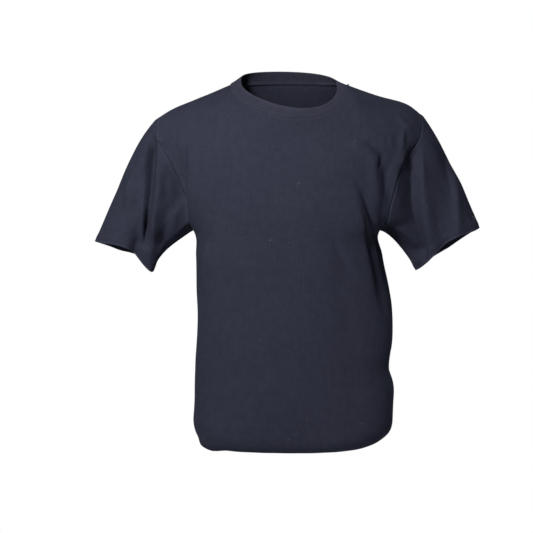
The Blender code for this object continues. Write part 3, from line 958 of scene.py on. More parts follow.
class Cloth:
    """The whole cloth surface, with the points that its pieces share at seams kept as one.

    A ripple is its height and two waves, each with its steps along x, y and z and its start.
    """

    EVEN_ROUNDS = 100
    WIDE_RIPPLE = (0.0007, (31.0, 0.0, 17.0, 1.3), (-9.0, 14.0, 23.0, 0.4))
    FINE_RIPPLE = (0.00018, (96.0, 0.0, -41.0, 2.1), (52.0, 37.0, 73.0, 0.0))

    def __init__(self, patches: list[Patch]) -> None:
        """Joins the patches.

        Args:
            patches: the pieces, whose seam points coincide.
        """
        self.patches = patches
        loose = np.concatenate([patch.grid.reshape(-1, 3) for patch in patches])
        _, first, ids = np.unique(np.round(loose, 6) + 0.0, axis=0, return_index=True, return_inverse=True)
        ids = ids.ravel()
        self.points = loose[first]
        done = 0
        quads = []
        for patch in patches:
            rows, columns = patch.grid.shape[:2]
            patch.ids = ids[done : done + rows * columns].reshape(rows, columns)
            done += rows * columns
            quads.append(patch.ids.ravel()[patch.quads()])
        self.quads = np.concatenate(quads)

    def normals(self) -> np.ndarray:
        """Smooth normals of the joined points."""
        a, b, c, d = (self.points[self.quads[:, k]] for k in range(4))
        areas = np.cross(c - a, d - b)
        sums = np.zeros_like(self.points)
        for k in range(4):
            np.add.at(sums, self.quads[:, k], areas)
        return unit(sums)

    def evened(self, normals: np.ndarray) -> np.ndarray:
        """Normals averaged with their neighbours', so that pieces pressed along them don't cross at a seam.

        Args:
            normals: the normals.

        Returns:
            The evened ones.
        """
        count = len(self.points)
        corners = [self.quads[:, k] for k in range(4)]
        for _ in range(self.EVEN_ROUNDS):
            middle = sum(normals[corner] for corner in corners)
            normals = unit(np.stack([
                sum(np.bincount(corner, weights=middle[:, axis], minlength=count) for corner in corners)
                for axis in range(3)
            ], axis=1))
        return normals

    def press(self, creases: tuple[Crease, ...]) -> None:
        """Presses creases into the cloth.

        Args:
            creases: the creases, which all start from the cloth as it is.
        """
        normals = self.normals()
        heights = sum(crease.lift(self.points, normals) for crease in creases)
        self.points = self.points + self.evened(normals) * heights[:, None]

    def ripple(self) -> None:
        """Gives the cloth the slight unevenness of a soft knit."""
        heights = np.zeros(len(self.points))
        for height, *waves in (self.WIDE_RIPPLE, self.FINE_RIPPLE):
            one, other = (np.sin(self.points @ wave[:3] + wave[3]) for wave in waves)
            heights += height * one * other
        self.points = self.points + self.normals() * heights[:, None]

    def settle(self) -> None:
        """Hands each patch its points."""
        for patch in self.patches:
            patch.grid = self.points[patch.ids]

    def named(self, names: tuple[str, ...]) -> list[Patch]:
        """The patches of some names."""
        return [patch for patch in self.patches if patch.name in names]

    def patch_normals(self) -> dict[str, np.ndarray]:
        """A grid of shared normals for each patch, by its name."""
        normals = self.normals()
        return {patch.name: normals[patch.ids] for patch in self.patches}


@dataclass(frozen=True)
class Seam:
    """How the cloth sinks in at a sewn seam, and swells and rubs over the allowance beside it, where the
    finish also paints a highlight on the ridge.
    """

    groove: float = 0.0005
    groove_half: float = 0.0010
    swell: float = 0.0003
    swell_at: float = 0.0042
    swell_half: float = 0.0022
    reach: float = 0.03
    start: float = 0.004
    # how strongly the ridge over the allowance is painted lighter: rubbing and a painted highlight
    rub: float = 0.15
    rub_half: float = 0.0020

    def lift(self, distance: np.ndarray) -> np.ndarray:
        """Height of the cloth at distances from the seam.

        Args:
            distance: how far the points lie from it.

        Returns:
            A height for each.
        """
        at_seam = bell(0.0, self.swell_at, self.swell_half)
        swell = self.swell * (bell(distance, self.swell_at, self.swell_half) - at_seam)
        return swell * (distance < self.reach) - self.groove * bell(distance, 0.0, self.groove_half)

    def worn(self, distance: np.ndarray) -> np.ndarray:
        """How rubbed the cloth is at distances from the seam, which also paints a highlight on the ridge
        there.
        """
        return self.rub * bell(distance, self.swell_at, self.rub_half)


@dataclass(frozen=True)
class Hem:
    """A turned hem: its depth, the rows of its twin needle, the pucker along them and its rubbed edge, which
    also carries a painted highlight on the fold.

    The pucker's waves are each their height and their steps for each metre round the hem.
    """

    depth: float = 0.0230
    rows_at: tuple[float, float] = (0.0175, 0.0225)
    groove: float = 0.00035
    groove_half: float = 0.0011
    puff: float = 0.00045
    puff_fade: float = 0.004
    pucker: float = 0.00028
    pucker_half: float = 0.0075
    pucker_step: float = 590.0
    pucker_drift: tuple[float, float] = (2.2, 83.0)
    pucker_beat: tuple[float, float, float] = (0.6, 371.0, 1.7)
    # how strongly the folded edge is painted lighter: rubbing and a painted highlight
    rub: float = 0.5
    rub_half: float = 0.0018

    def lift(self, distance: np.ndarray, around: np.ndarray) -> np.ndarray:
        """Height of the cloth at distances from the edge.

        Args:
            distance: how far the points lie from the edge.
            around: how far round the hem they lie.

        Returns:
            A height for each.
        """
        inside = smooth(1 - (distance - self.depth) / self.puff_fade)
        bulge = self.puff * np.sin(np.clip(distance / self.rows_at[0], 0, 1) * math.pi) ** 2
        grooves = sum(self.groove * bell(distance, at, self.groove_half) for at in self.rows_at)
        drift, drift_step = self.pucker_drift
        beat, beat_step, beat_start = self.pucker_beat
        wave = np.sin(around * self.pucker_step + drift * np.sin(around * drift_step))
        wave += beat * np.sin(around * beat_step + beat_start)
        near = bell(distance, sum(self.rows_at) / 2, self.pucker_half)
        return (bulge - grooves) * inside + self.pucker * wave * near

    def worn(self, distance: np.ndarray) -> np.ndarray:
        """How rubbed the cloth is at distances from the edge, which also paints a highlight on the fold."""
        return self.rub * bell(distance, 0.0, self.rub_half)


@dataclass(frozen=True)
class Cut:
    """The flat cut of a piece: its width, its length and its area."""

    width: float
    length: float
    area: float


def cut_of(grid: np.ndarray, closed: bool, level: int) -> Cut:
    """The flat cut of a cloth grid, measured along its surface.

    Args:
        grid: its points.
        closed: whether its rows are rings.
        level: its first row that runs level across the cut.

    Returns:
        The cut, as wide as its widest level row and as long as its longest column.
    """
    if closed:
        grid = ring_closed(grid)
    corners = grid.reshape(-1, 3)[grid_quads(*grid.shape[:2], False, False)]
    areas = np.cross(corners[:, 2] - corners[:, 0], corners[:, 3] - corners[:, 1])
    return Cut(
        float(lengths_along(grid, 1)[level:, -1].max()), float(lengths_along(grid, 0)[-1].max()),
        float(np.linalg.norm(areas, axis=1).sum() / 2),
    )


@dataclass
class ClothPiece:
    """A cut piece made into a thin shell.

    Attributes:
        name: the piece's name.
        middle: a grid of points on its middle surface.
        normals: their normals.
        closed: whether its rows are rings.
        flip: whether its quads are wound the other way.
        wall: its thickness.
        worn: how rubbed each point is, 0 to 1, with a painted highlight on seam ridges and hem folds.
        column: the column from which the pattern is measured.
        level: the first row below its armholes, or halfway down a sleeve.
    """

    name: str
    middle: np.ndarray
    normals: np.ndarray
    closed: bool
    flip: bool
    wall: float
    worn: np.ndarray
    column: int
    level: int

    def cut(self) -> Cut:
        """Its flat cut, with its turned hem."""
        return cut_of(self.middle, self.closed, self.level)

    def pattern(self) -> np.ndarray:
        """Places on the flat cloth, in metres, with one more column where rows are rings."""
        points = ring_closed(self.middle) if self.closed else self.middle
        across = lengths_along(points, 1)
        across = across - across[:, self.column : self.column + 1]
        down = lengths_along(points, 0).mean(axis=1, keepdims=True)
        return np.stack((across, down + 0 * across), axis=2)

    def build(self) -> bpy.types.Object:
        """Makes the shell as an object with its own pattern map."""
        outer = self.middle + self.normals * self.wall / 2
        inner = self.middle - self.normals * self.wall / 2
        rows, columns = self.middle.shape[:2]
        count = rows * columns
        front = grid_quads(rows, columns, self.closed, self.flip)
        faces = np.concatenate((front, front[:, ::-1] + count, self.rims()))
        piece = smooth_object(self.name, np.stack((outer, inner)), faces.tolist())
        i, j = np.divmod(faces % count, columns)
        if self.closed:
            j = wrapped(j, columns)
        write_maps(piece.data, self.pattern()[i, j], np.tile(self.worn.ravel(), 2))
        return piece

    def rims(self) -> np.ndarray:
        """Point numbers of the quads that close the shell along its edges."""
        rows, columns = self.middle.shape[:2]
        count = rows * columns
        first = np.arange(columns)
        last = first + (rows - 1) * columns
        pairs = [(np.roll(first, -1), first), (last, np.roll(last, -1))]
        if not self.closed:
            pairs = [(one[:-1], other[:-1]) for one, other in pairs]
            left = np.arange(rows) * columns
            right = left + columns - 1
            pairs += [(left[:-1], left[1:]), (right[1:], right[:-1])]
        rims = np.concatenate([np.stack((a, b, b + count, a + count), axis=1) for a, b in pairs])
        return rims[:, ::-1] if self.flip else rims


def folded_back(
    middle: np.ndarray, normals: np.ndarray, depth: float, gap: float, turns: int = 6
) -> tuple[np.ndarray, np.ndarray]:
    """Carries a cloth grid round its last row and back up inside, as a hem is turned.

    Args:
        middle: the grid, whose last row is the folded edge.
        normals: its normals.
        depth: how far up the hem goes.
        gap: distance between the two layers' middles.
        turns: steps round the fold.

    Returns:
        The longer grid and its normals.
    """
    centre = middle[-1] - normals[-1] * gap / 2
    facing = fold_round(middle, normals, np.linspace(0, math.pi, turns + 1)[1:])
    up = lengths_along(middle[::-1], 0).mean(axis=1)
    inside = [-1 - k for k in range(1, len(up)) if up[k] < depth]
    inner = middle[inside] - normals[inside] * gap
    grid = np.concatenate((middle, centre + facing * gap / 2, inner))
    return grid, np.concatenate((normals, facing, -normals[inside]))


@dataclass(frozen=True)
class StitchRow:
    """Machine stitches: their step, their length and half the thickness of their thread.

    A stitch's shoulders and ends lie at shares of its length from its middle, and their widths
    and rises are in half threads. Its direction is read a share of its length to either side.
    """

    step: float = 0.0030
    length: float = 0.0024
    thread: float = 0.00032
    sides: int = 5
    crest_rise: float = 0.25
    shoulder_at: float = 0.38
    shoulder_width: float = 0.85
    shoulder_rise: float = -0.15
    end_at: float = 0.5
    end_width: float = 0.35
    end_rise: float = -0.9
    aim: float = 1 / 3

    END_FACING = 0.99

    def model(self) -> bpy.types.Object:
        """Models one stitch along x, with z out of the cloth, crested and pinched at both ends.

        Returns:
            The stitch, which the rows copy.
        """
        bpy.ops.object.select_all(action="DESELECT")
        bpy.ops.mesh.primitive_cylinder_add(
            vertices=self.sides, radius=self.thread * self.shoulder_width,
            depth=2 * self.shoulder_at * self.length,
            location=(0.0, 0.0, self.thread * self.shoulder_rise), rotation=(0.0, math.pi / 2, 0.0),
        )
        stitch = bpy.context.object
        bpy.ops.object.transform_apply()
        bpy.ops.object.mode_set(mode="EDIT")
        bpy.ops.mesh.bisect(plane_co=(0.0, 0.0, 0.0), plane_no=(1.0, 0.0, 0.0))
        middle = (0.0, 0.0, self.thread * self.shoulder_rise)
        wider = 1 / self.shoulder_width
        bpy.ops.transform.resize(value=(1.0, wider, wider), center_override=middle)
        bpy.ops.transform.translate(value=(0.0, 0.0, self.thread * (self.crest_rise - self.shoulder_rise)))
        reach = (self.end_at - self.shoulder_at) * self.length
        drop = self.thread * (self.end_rise - self.shoulder_rise)
        narrower = self.end_width / self.shoulder_width
        for way in (-1.0, 1.0):
            bpy.ops.mesh.select_all(action="DESELECT")
            shape = bmesh.from_edit_mesh(stitch.data)
            for face in shape.faces:
                if face.normal.x * way > self.END_FACING:
                    face.select_set(True)
            bmesh.update_edit_mesh(stitch.data)
            bpy.ops.mesh.extrude_region_move(TRANSFORM_OT_translate={"value": (way * reach, 0.0, drop)})
            centre = (way * self.end_at * self.length, 0.0, self.thread * self.end_rise)
            bpy.ops.transform.resize(value=(1.0, narrower, narrower), center_override=centre)
        bpy.ops.object.mode_set(mode="OBJECT")
        return stitch

    def lay(
        self, name: str, paths: list[tuple[np.ndarray, np.ndarray, bool]], stitch: bpy.types.Mesh
    ) -> bpy.types.Object:
        """Lays copies of a stitch along lines on the cloth.

        Args:
            name: the piece's name.
            paths: for each line its points, their normals and whether it closes.
            stitch: the stitch to copy.

        Returns:
            The stitches as one object.
        """
        shape = np.array([point.co[:] for point in stitch.vertices])
        sides = sorted(self.from_lowest(list(side.vertices)) for side in stitch.polygons)
        placed = np.concatenate([self.placed(shape, *path) for path in paths])
        starts = range(0, len(placed) * len(shape), len(shape))
        faces = [[start + corner for corner in side] for start in starts for side in sides]
        return smooth_object(name, placed, faces)

    @staticmethod
    def from_lowest(corners: list[int]) -> list[int]:
        """A face's corners from its lowest number on, so that their order is the same on every run."""
        start = corners.index(min(corners))
        return corners[start:] + corners[:start]

    def placed(self, shape: np.ndarray, line: np.ndarray, normals: np.ndarray, closed: bool) -> np.ndarray:
        """Points of copies of a stitch, end to end along a line.

        Args:
            shape: the stitch's points.
            line: the line's points.
            normals: their normals.
            closed: whether the line closes.

        Returns:
            A row of points for each copy.
        """
        if closed:
            line = np.concatenate((line, line[:1]))
            normals = np.concatenate((normals, normals[:1]))
        sizes = np.linalg.norm(np.diff(line, axis=0), axis=1)
        along = np.concatenate(((0.0,), np.cumsum(sizes)))
        count = int(along[-1] / self.step)
        at = (np.arange(count) + 0.5) * along[-1] / count
        here, ahead, behind = (
            interpolated(at + apart * self.length, along, line) for apart in (0.0, self.aim, -self.aim)
        )
        up = unit(interpolated(at, along, normals))
        way = unit(ahead - behind)
        aside = unit(np.cross(up, way))
        axes = np.stack((way, aside, np.cross(way, aside)), axis=1)
        return here[:, None, :] + np.einsum("kp,nkc->npc", shape.T, axes)


def plain_material(name: str) -> bpy.types.Material:
    """A new material with nothing but its output and shader."""
    made = bpy.data.materials.new(name)
    made.use_nodes = True
    return made


class Value:
    """A number socket that takes part in sums written in Python."""

    def __init__(self, bench: "NodeBench", socket: bpy.types.NodeSocket) -> None:
        """Wraps a socket.

        Args:
            bench: the bench that its node stands on.
            socket: the output socket.
        """
        self.bench = bench
        self.socket = socket

    def _join(self, operation: str, *values: "Value | float") -> "Value":
        """Adds a Math node.

        Args:
            operation: what it does.
            values: what it takes.

        Returns:
            Its result.
        """
        return self.bench.maths(operation, *values)

    def __add__(self, other: "Value | float") -> "Value":
        """Sum."""
        return self._join("ADD", self, other)

    __radd__ = __add__

    def __mul__(self, other: "Value | float") -> "Value":
        """Product."""
        return self._join("MULTIPLY", self, other)

    __rmul__ = __mul__

    def __sub__(self, other: "Value | float") -> "Value":
        """Difference."""
        return self._join("SUBTRACT", self, other)

    def __rsub__(self, other: float) -> "Value":
        """Difference from a number."""
        return self._join("SUBTRACT", other, self)

    def __truediv__(self, other: "Value | float") -> "Value":
        """Quotient."""
        return self._join("DIVIDE", self, other)

    def __pow__(self, other: "Value | float") -> "Value":
        """Power."""
        return self._join("POWER", self, other)


class NodeBench:
    """The nodes of a material or a world and the one way in which they are made."""

    def __init__(self, owner: bpy.types.Material | bpy.types.World) -> None:
        """Takes hold of the nodes.

        Args:
            owner: the material or world, which already uses nodes.
        """
        self.owner = owner
        self.tree = owner.node_tree
        self.shader = self.tree.nodes.get("Principled BSDF")

    def node(self, kind: str, settings: dict | None = None, **sockets: object) -> bpy.types.Node:
        """Adds a node.

        Args:
            kind: its type without the ShaderNode in front.
            settings: its own settings, which are set first.
            sockets: values or links by socket name, with _ for spaces, or number after a k.

        Returns:
            The node.
        """
        made = self.tree.nodes.new("ShaderNode" + kind)
        for key, value in (settings or {}).items():
            setattr(made, key, value)
        self.fill(made, sockets)
        return made

    def fill(self, node: bpy.types.Node, sockets: dict[str, object]) -> None:
        """Sets or links some sockets of a node.

        Args:
            node: the node.
            sockets: values or links by socket name, as above.
        """
        for key, value in sockets.items():
            name = int(key[1:]) if key[0] == "k" and key[1:].isdigit() else key.replace("_", " ")
            self.feed(node.inputs[name], value)

    def shade(self, **sockets: object) -> bpy.types.Material:
        """Sets or links some sockets of the material's shader, and hands over the material."""
        self.fill(self.shader, sockets)
        return self.owner

    def feed(self, socket: bpy.types.NodeSocket, value: object) -> None:
        """Sets or links a socket.

        Args:
            socket: the input.
            value: a number, a tuple, a Value or an output socket.
        """
        if isinstance(value, Value):
            value = value.socket
        if isinstance(value, bpy.types.NodeSocket):
            self.tree.links.new(value, socket)
        else:
            socket.default_value = value

    def maths(self, operation: str, *values: "Value | float") -> Value:
        """Adds a Math node.

        Args:
            operation: what it does.
            values: what it takes.

        Returns:
            Its result.
        """
        made = self.node("Math", {"operation": operation}, **{f"k{n}": v for n, v in enumerate(values)})
        return Value(self, made.outputs[0])

    def mix(self, factor: "Value | float", one: object, other: object) -> bpy.types.NodeSocket:
        """Mixes two colours.

        Args:
            factor: the share of the second.
            one: the first colour.
            other: the second colour.

        Returns:
            The mixed colour.
        """
        made = self.node("Mix", {"data_type": "RGBA"}, k0=factor, k6=one, k7=other)
        return made.outputs[2]

    def noise(
        self, place: bpy.types.NodeSocket, scale: float, detail: float = 2.0, rough: float = 0.5
    ) -> Value:
        """A noise pattern from 0 to 1.

        Args:
            place: where it is read.
            scale: how fine it is.
            detail: how many finer layers it has.
            rough: how strong they are.

        Returns:
            The pattern.
        """
        made = self.node("TexNoise", None, Vector=place, Scale=scale, Detail=detail, Roughness=rough)
        return Value(self, made.outputs["Fac"])

    def stretched(
        self, place: bpy.types.NodeSocket, scale: tuple[float, float, float]
    ) -> bpy.types.NodeSocket:
        """Scales a place by a vector.

        Args:
            place: the place.
            scale: the scale on each axis.

        Returns:
            The scaled place.
        """
        made = self.node("VectorMath", {"operation": "MULTIPLY"}, k0=place, k1=scale)
        return made.outputs[0]

    def range(
        self, value: Value, low: float, high: float, to_low: float = 0.0, to_high: float = 1.0
    ) -> Value:
        """Maps a value's range to another, held at its ends.

        Args:
            value: the value.
            low: where the range starts.
            high: where it ends.
            to_low: what its start becomes.
            to_high: what its end becomes.

        Returns:
            The mapped value.
        """
        made = self.node("MapRange", None, k0=value, k1=low, k2=high, k3=to_low, k4=to_high)
        return Value(self, made.outputs[0])

    def bump(
        self, height: Value, distance: float, strength: float, under: bpy.types.NodeSocket | None = None
    ) -> bpy.types.NodeSocket:
        """Adds relief to a normal.

        Args:
            height: the relief, 0 to 1.
            distance: how deep it is.
            strength: how strongly it shows.
            under: the normal that it is added to.

        Returns:
            The new normal.
        """
        made = self.node("Bump", None, Height=height, Distance=distance, Strength=strength)
        if under is not None:
            self.feed(made.inputs["Normal"], under)
        return made.outputs["Normal"]


@dataclass(frozen=True)
class KnitFinish:
    """Dyed cotton knit with its stitches, its uneven dye and a little lint, with painted shade between its
    loops and a painted highlight along its rubbed seams and folds.

    The capitals are how fine its patterns are for each metre, how far each part of the dye
    counts, how its loops lie, how much painted shade falls between them, how its fibres
    stand out, how far its rubbed and painted-highlit places go and where its lint falls.
    """

    name: str
    deep: tuple[float, float, float, float]
    pale: tuple[float, float, float, float]
    # the colour of rubbed places, which also paints a highlight on seam ridges and folds
    rubbed: tuple[float, float, float, float]
    wale: float = 0.00075
    course: float = 0.00060
    relief: float = 0.00016
    mottle_relief: float = 0.0005
    roughness: tuple[float, float] = (0.78, 0.92)
    sheen: float = 0.01
    sheen_roughness: float = 0.45
    sheen_tint: tuple[float, float, float, float] = (0.55, 0.62, 0.85, 1.0)
    lint: bool = True
    lint_colour: tuple[float, float, float, float] = (0.34, 0.35, 0.38, 1.0)

    MOTTLE = (260.0, 380.0, 1.0)
    BROAD = 9.0
    BLOTCH = 70.0
    STREAK = (700.0, 18.0, 1.0)
    FUZZ = 2600.0
    MOTTLE_SHARE = 0.4
    BROAD_SHARE = 0.15
    BLOTCH_SHARE = 0.25
    STREAK_SHARE = 0.2
    DYE_SPAN = (0.39, 0.61)
    NOISE_SPAN = (0.3, 0.7)
    LOOP_SLANT = 0.55
    LOOP_SQUARE = 2.5
    LOOP_DEPTH = 0.45
    STITCH_PALE = 0.35
    FUZZ_PALE = 0.25
    RUBBED_SPAN = (0.4, 1.0)
    LINT_CELLS = 62.0
    LINT_SPAN = (0.015, 0.027)
    LINT_ABOVE = 0.98
    LINT_SHARE = 0.6
    MOTTLE_STRENGTH = 0.25
    STITCH_STRENGTH = 0.6
    STITCH_RELIEF = 0.8
    FUZZ_RELIEF = 0.2

    def make(self) -> bpy.types.Material:
        """Builds the material."""
        bench = NodeBench(plain_material(self.name))
        place = bench.node("UVMap", {"uv_map": PATTERN}).outputs["UV"]
        parts = bench.node("SeparateXYZ", None, Vector=place)
        u = Value(bench, parts.outputs["X"])
        v = Value(bench, parts.outputs["Y"])
        across = bench.maths("ABSOLUTE", bench.maths("FRACT", u / self.wale) - 0.5) * 2.0
        loops = bench.maths("SINE", (v / self.course + across * self.LOOP_SLANT) * TURN) * 0.5 + 0.5
        stitch = (1.0 - across ** self.LOOP_SQUARE) * (loops * self.LOOP_DEPTH + (1.0 - self.LOOP_DEPTH))
        mottle = bench.noise(bench.stretched(place, self.MOTTLE), 1.0, 3.0, 0.6)
        broad = bench.noise(place, self.BROAD, 2.0, 0.5)
        blotch = bench.noise(place, self.BLOTCH, 3.0, 0.6)
        streak = bench.noise(bench.stretched(place, self.STREAK), 1.0, 2.0, 0.5)
        fuzz = bench.noise(place, self.FUZZ, 2.0, 0.6)
        dye = mottle * self.MOTTLE_SHARE + broad * self.BROAD_SHARE
        dye = dye + blotch * self.BLOTCH_SHARE + streak * self.STREAK_SHARE
        colour = bench.mix(bench.range(dye, *self.DYE_SPAN), self.deep, self.pale)
        # loops paler and the gaps between them darker as painted shade; the fuzz adds paler fibres at random
        colour = bench.mix(stitch * self.STITCH_PALE + fuzz * self.FUZZ_PALE, colour, self.pale)
        # lighter along seam ridges, hem folds and the band's fold: partly wear, partly a painted highlight on
        # these ridges
        worn = Value(bench, bench.node("Attribute", {"attribute_name": WEAR_AND_HIGHLIGHT_MAP}).outputs["Fac"])
        rubbing_and_highlight = worn * bench.range(mottle, *self.NOISE_SPAN, *self.RUBBED_SPAN)
        colour = bench.mix(rubbing_and_highlight, colour, self.rubbed)
        if self.lint:
            colour = self.with_lint(bench, place, colour)
        normal = bench.bump(mottle, self.mottle_relief, self.MOTTLE_STRENGTH)
        raised = stitch * self.STITCH_RELIEF + fuzz * self.FUZZ_RELIEF
        return bench.shade(
            Base_Color=colour,
            Roughness=bench.range(fuzz, *self.NOISE_SPAN, *self.roughness),
            Normal=bench.bump(raised, self.relief, self.STITCH_STRENGTH, normal),
            Sheen_Weight=self.sheen,
            Sheen_Roughness=self.sheen_roughness,
            Sheen_Tint=self.sheen_tint,
            Specular_IOR_Level=0.0,
        )

    def with_lint(
        self, bench: NodeBench, place: bpy.types.NodeSocket, colour: bpy.types.NodeSocket
    ) -> bpy.types.NodeSocket:
        """Scatters a few pale specks.

        Args:
            bench: the material's bench.
            place: the place on the flat cloth.
            colour: the cloth's colour.

        Returns:
            The colour with specks.
        """
        cells = bench.node("TexVoronoi", {"voronoi_dimensions": "2D"}, Vector=place, Scale=self.LINT_CELLS)
        chosen = Value(bench, bench.node("SeparateColor", None, Color=cells.outputs["Color"]).outputs[0])
        near = bench.range(Value(bench, cells.outputs["Distance"]), *self.LINT_SPAN, 1.0, 0.0)
        specks = near * bench.maths("GREATER_THAN", chosen, self.LINT_ABOVE)
        return bench.mix(specks * self.LINT_SHARE, colour, self.lint_colour)


@dataclass(frozen=True)
class ThreadFinish:
    """Spun polyester thread dyed to match."""

    name: str
    colour: tuple[float, float, float, float]
    shine: tuple[float, float, float, float]
    roughness: tuple[float, float] = (0.45, 0.65)
    relief: float = 0.0001
    specular: float = 0.08

    TWIST = 2400.0
    TWIST_SPAN = (0.3, 0.7)
    TWIST_STRENGTH = 0.5

    def make(self) -> bpy.types.Material:
        """Builds the material."""
        bench = NodeBench(plain_material(self.name))
        twist = bench.noise(bench.node("TexCoord").outputs["Object"], self.TWIST, 1.0)
        return bench.shade(
            Base_Color=bench.mix(twist, self.colour, self.shine),
            Roughness=bench.range(twist, *self.TWIST_SPAN, *self.roughness),
            Normal=bench.bump(twist, self.relief, self.TWIST_STRENGTH),
            Specular_IOR_Level=self.specular,
        )


@dataclass(frozen=True)
class FloorFinish:
    """Plain pale paper."""

    name: str
    colour: tuple[float, float, float, float]
    roughness: float = 0.95

    def make(self) -> bpy.types.Material:
        """Builds the material."""
        return NodeBench(plain_material(self.name)).shade(Base_Color=self.colour, Roughness=self.roughness)


@dataclass(frozen=True)
class NeckRib:
    """The doubled neck band: its wall, its knitted ribs and its rounded fold.

    Its relief comes in over a rise from the neckline and goes just past the fold. The rings
    tucked under the neckline are each a distance below it, how far they are sunk and their wall.
    """

    name: str = "shell_" + BAND
    half_wall: float = 0.0008
    ribs: int = 300
    per_rib: int = 6
    relief: float = 0.00022
    relief_rise: float = 0.003
    relief_past: float = 0.001
    fold_steps: int = 6
    seam_sink: float = 0.0005
    seam_half: float = 0.0015
    # how strongly the band's fold is painted lighter: rubbing and a painted highlight
    rub: float = 0.5
    rub_half: float = 2.5
    pattern_round: float = 0.6
    pattern_past: float = 0.05
    tucked: tuple[tuple[float, float, float], ...] = (
        (0.0050, 0.0006, 0.0003),
        (0.0044, 0.0006, 0.0007),
        (0.0010, 0.0008, 0.0014),
        (0.0002, 0.0006, 0.0016),
    )

    def build(self, patch: Patch, normals: np.ndarray) -> bpy.types.Object:
        """Builds the band round the neckline.

        Args:
            patch: the band's rings, from the neckline to its free edge.
            normals: their normals.

        Returns:
            The band.
        """
        rings = self.refined(patch.grid)
        facing = unit(self.refined(normals))
        count = rings.shape[1]
        wave = np.cos(np.arange(count) * TURN / self.per_rib)
        up = lengths_along(rings, 0).mean(axis=1)
        past = up[-1] + self.relief_past
        below = unit(rings[0] - rings[2])
        outer = [rings[0] + below * at - facing[0] * sunk for at, sunk, _ in self.tucked]
        inner = [ring - facing[0] * wall for ring, (_, _, wall) in zip(outer, self.tucked)]
        for ring, normal, at in zip(rings[1:], facing[1:], up[1:]):
            swell = smooth(at / self.relief_rise) * smooth((past - at) / self.relief_rise)
            sink = self.seam_sink * bell(at, 0.0, self.seam_half)
            ribbed = (self.half_wall - sink + self.relief * wave * swell)[:, None]
            outer.append(ring + normal * ribbed)
            inner.append(ring - normal * ribbed)
        angles = np.linspace(0, math.pi, self.fold_steps + 1)[1:-1]
        fold_rings = rings[-1] + fold_round(rings, facing, angles) * self.half_wall
        profile = np.array([*outer, *fold_rings, *inner[::-1]])
        quads = grid_quads(len(profile), count, True, patch.flip)
        close = grid_quads(2, count, True, patch.flip)
        close = np.where(close >= count, close - count, close + (len(profile) - 1) * count)
        faces = np.concatenate((quads, close))
        piece = smooth_object(self.name, profile, faces.tolist())
        # lighter along the band's fold: wear there and a painted highlight on its crest
        worn = self.rub * bell(np.arange(len(profile)), len(outer) + 1, self.rub_half)
        write_maps(piece.data, self.pattern(faces, profile), np.repeat(worn, count))
        return piece

    def cut(self, patch: Patch) -> Cut:
        """The outer layer of its strip, with the allowance under the neckline.

        Args:
            patch: the band's rings.

        Returns:
            The cut.
        """
        shown = cut_of(patch.grid, True, 0)
        allowance = self.tucked[0][0]
        return Cut(shown.width, shown.length + allowance, shown.area + shown.width * allowance)

    def refined(self, rings: np.ndarray) -> np.ndarray:
        """Rings with as many points as the ribs need.

        Args:
            rings: coarse rings.

        Returns:
            Fine ones.
        """
        coarse = ring_closed(rings)
        at = np.linspace(0, coarse.shape[1] - 1, self.ribs * self.per_rib, endpoint=False)
        whole = np.arange(coarse.shape[1])
        return np.stack([interpolated(at, whole, row) for row in coarse])

    def pattern(self, faces: np.ndarray, profile: np.ndarray) -> np.ndarray:
        """Places on the flat strip, with the ribs a fixed step apart.

        Args:
            faces: the band's faces.
            profile: its rings.

        Returns:
            A place for each corner of each face.
        """
        rows, count = profile.shape[:2]
        i, j = np.divmod(faces, count)
        around = wrapped(j, count) * self.pattern_round / count
        up = np.concatenate((lengths_along(profile, 0).mean(axis=1), (self.pattern_past,)))
        return np.stack((around, up[wrapped(i, rows)]), axis=2)


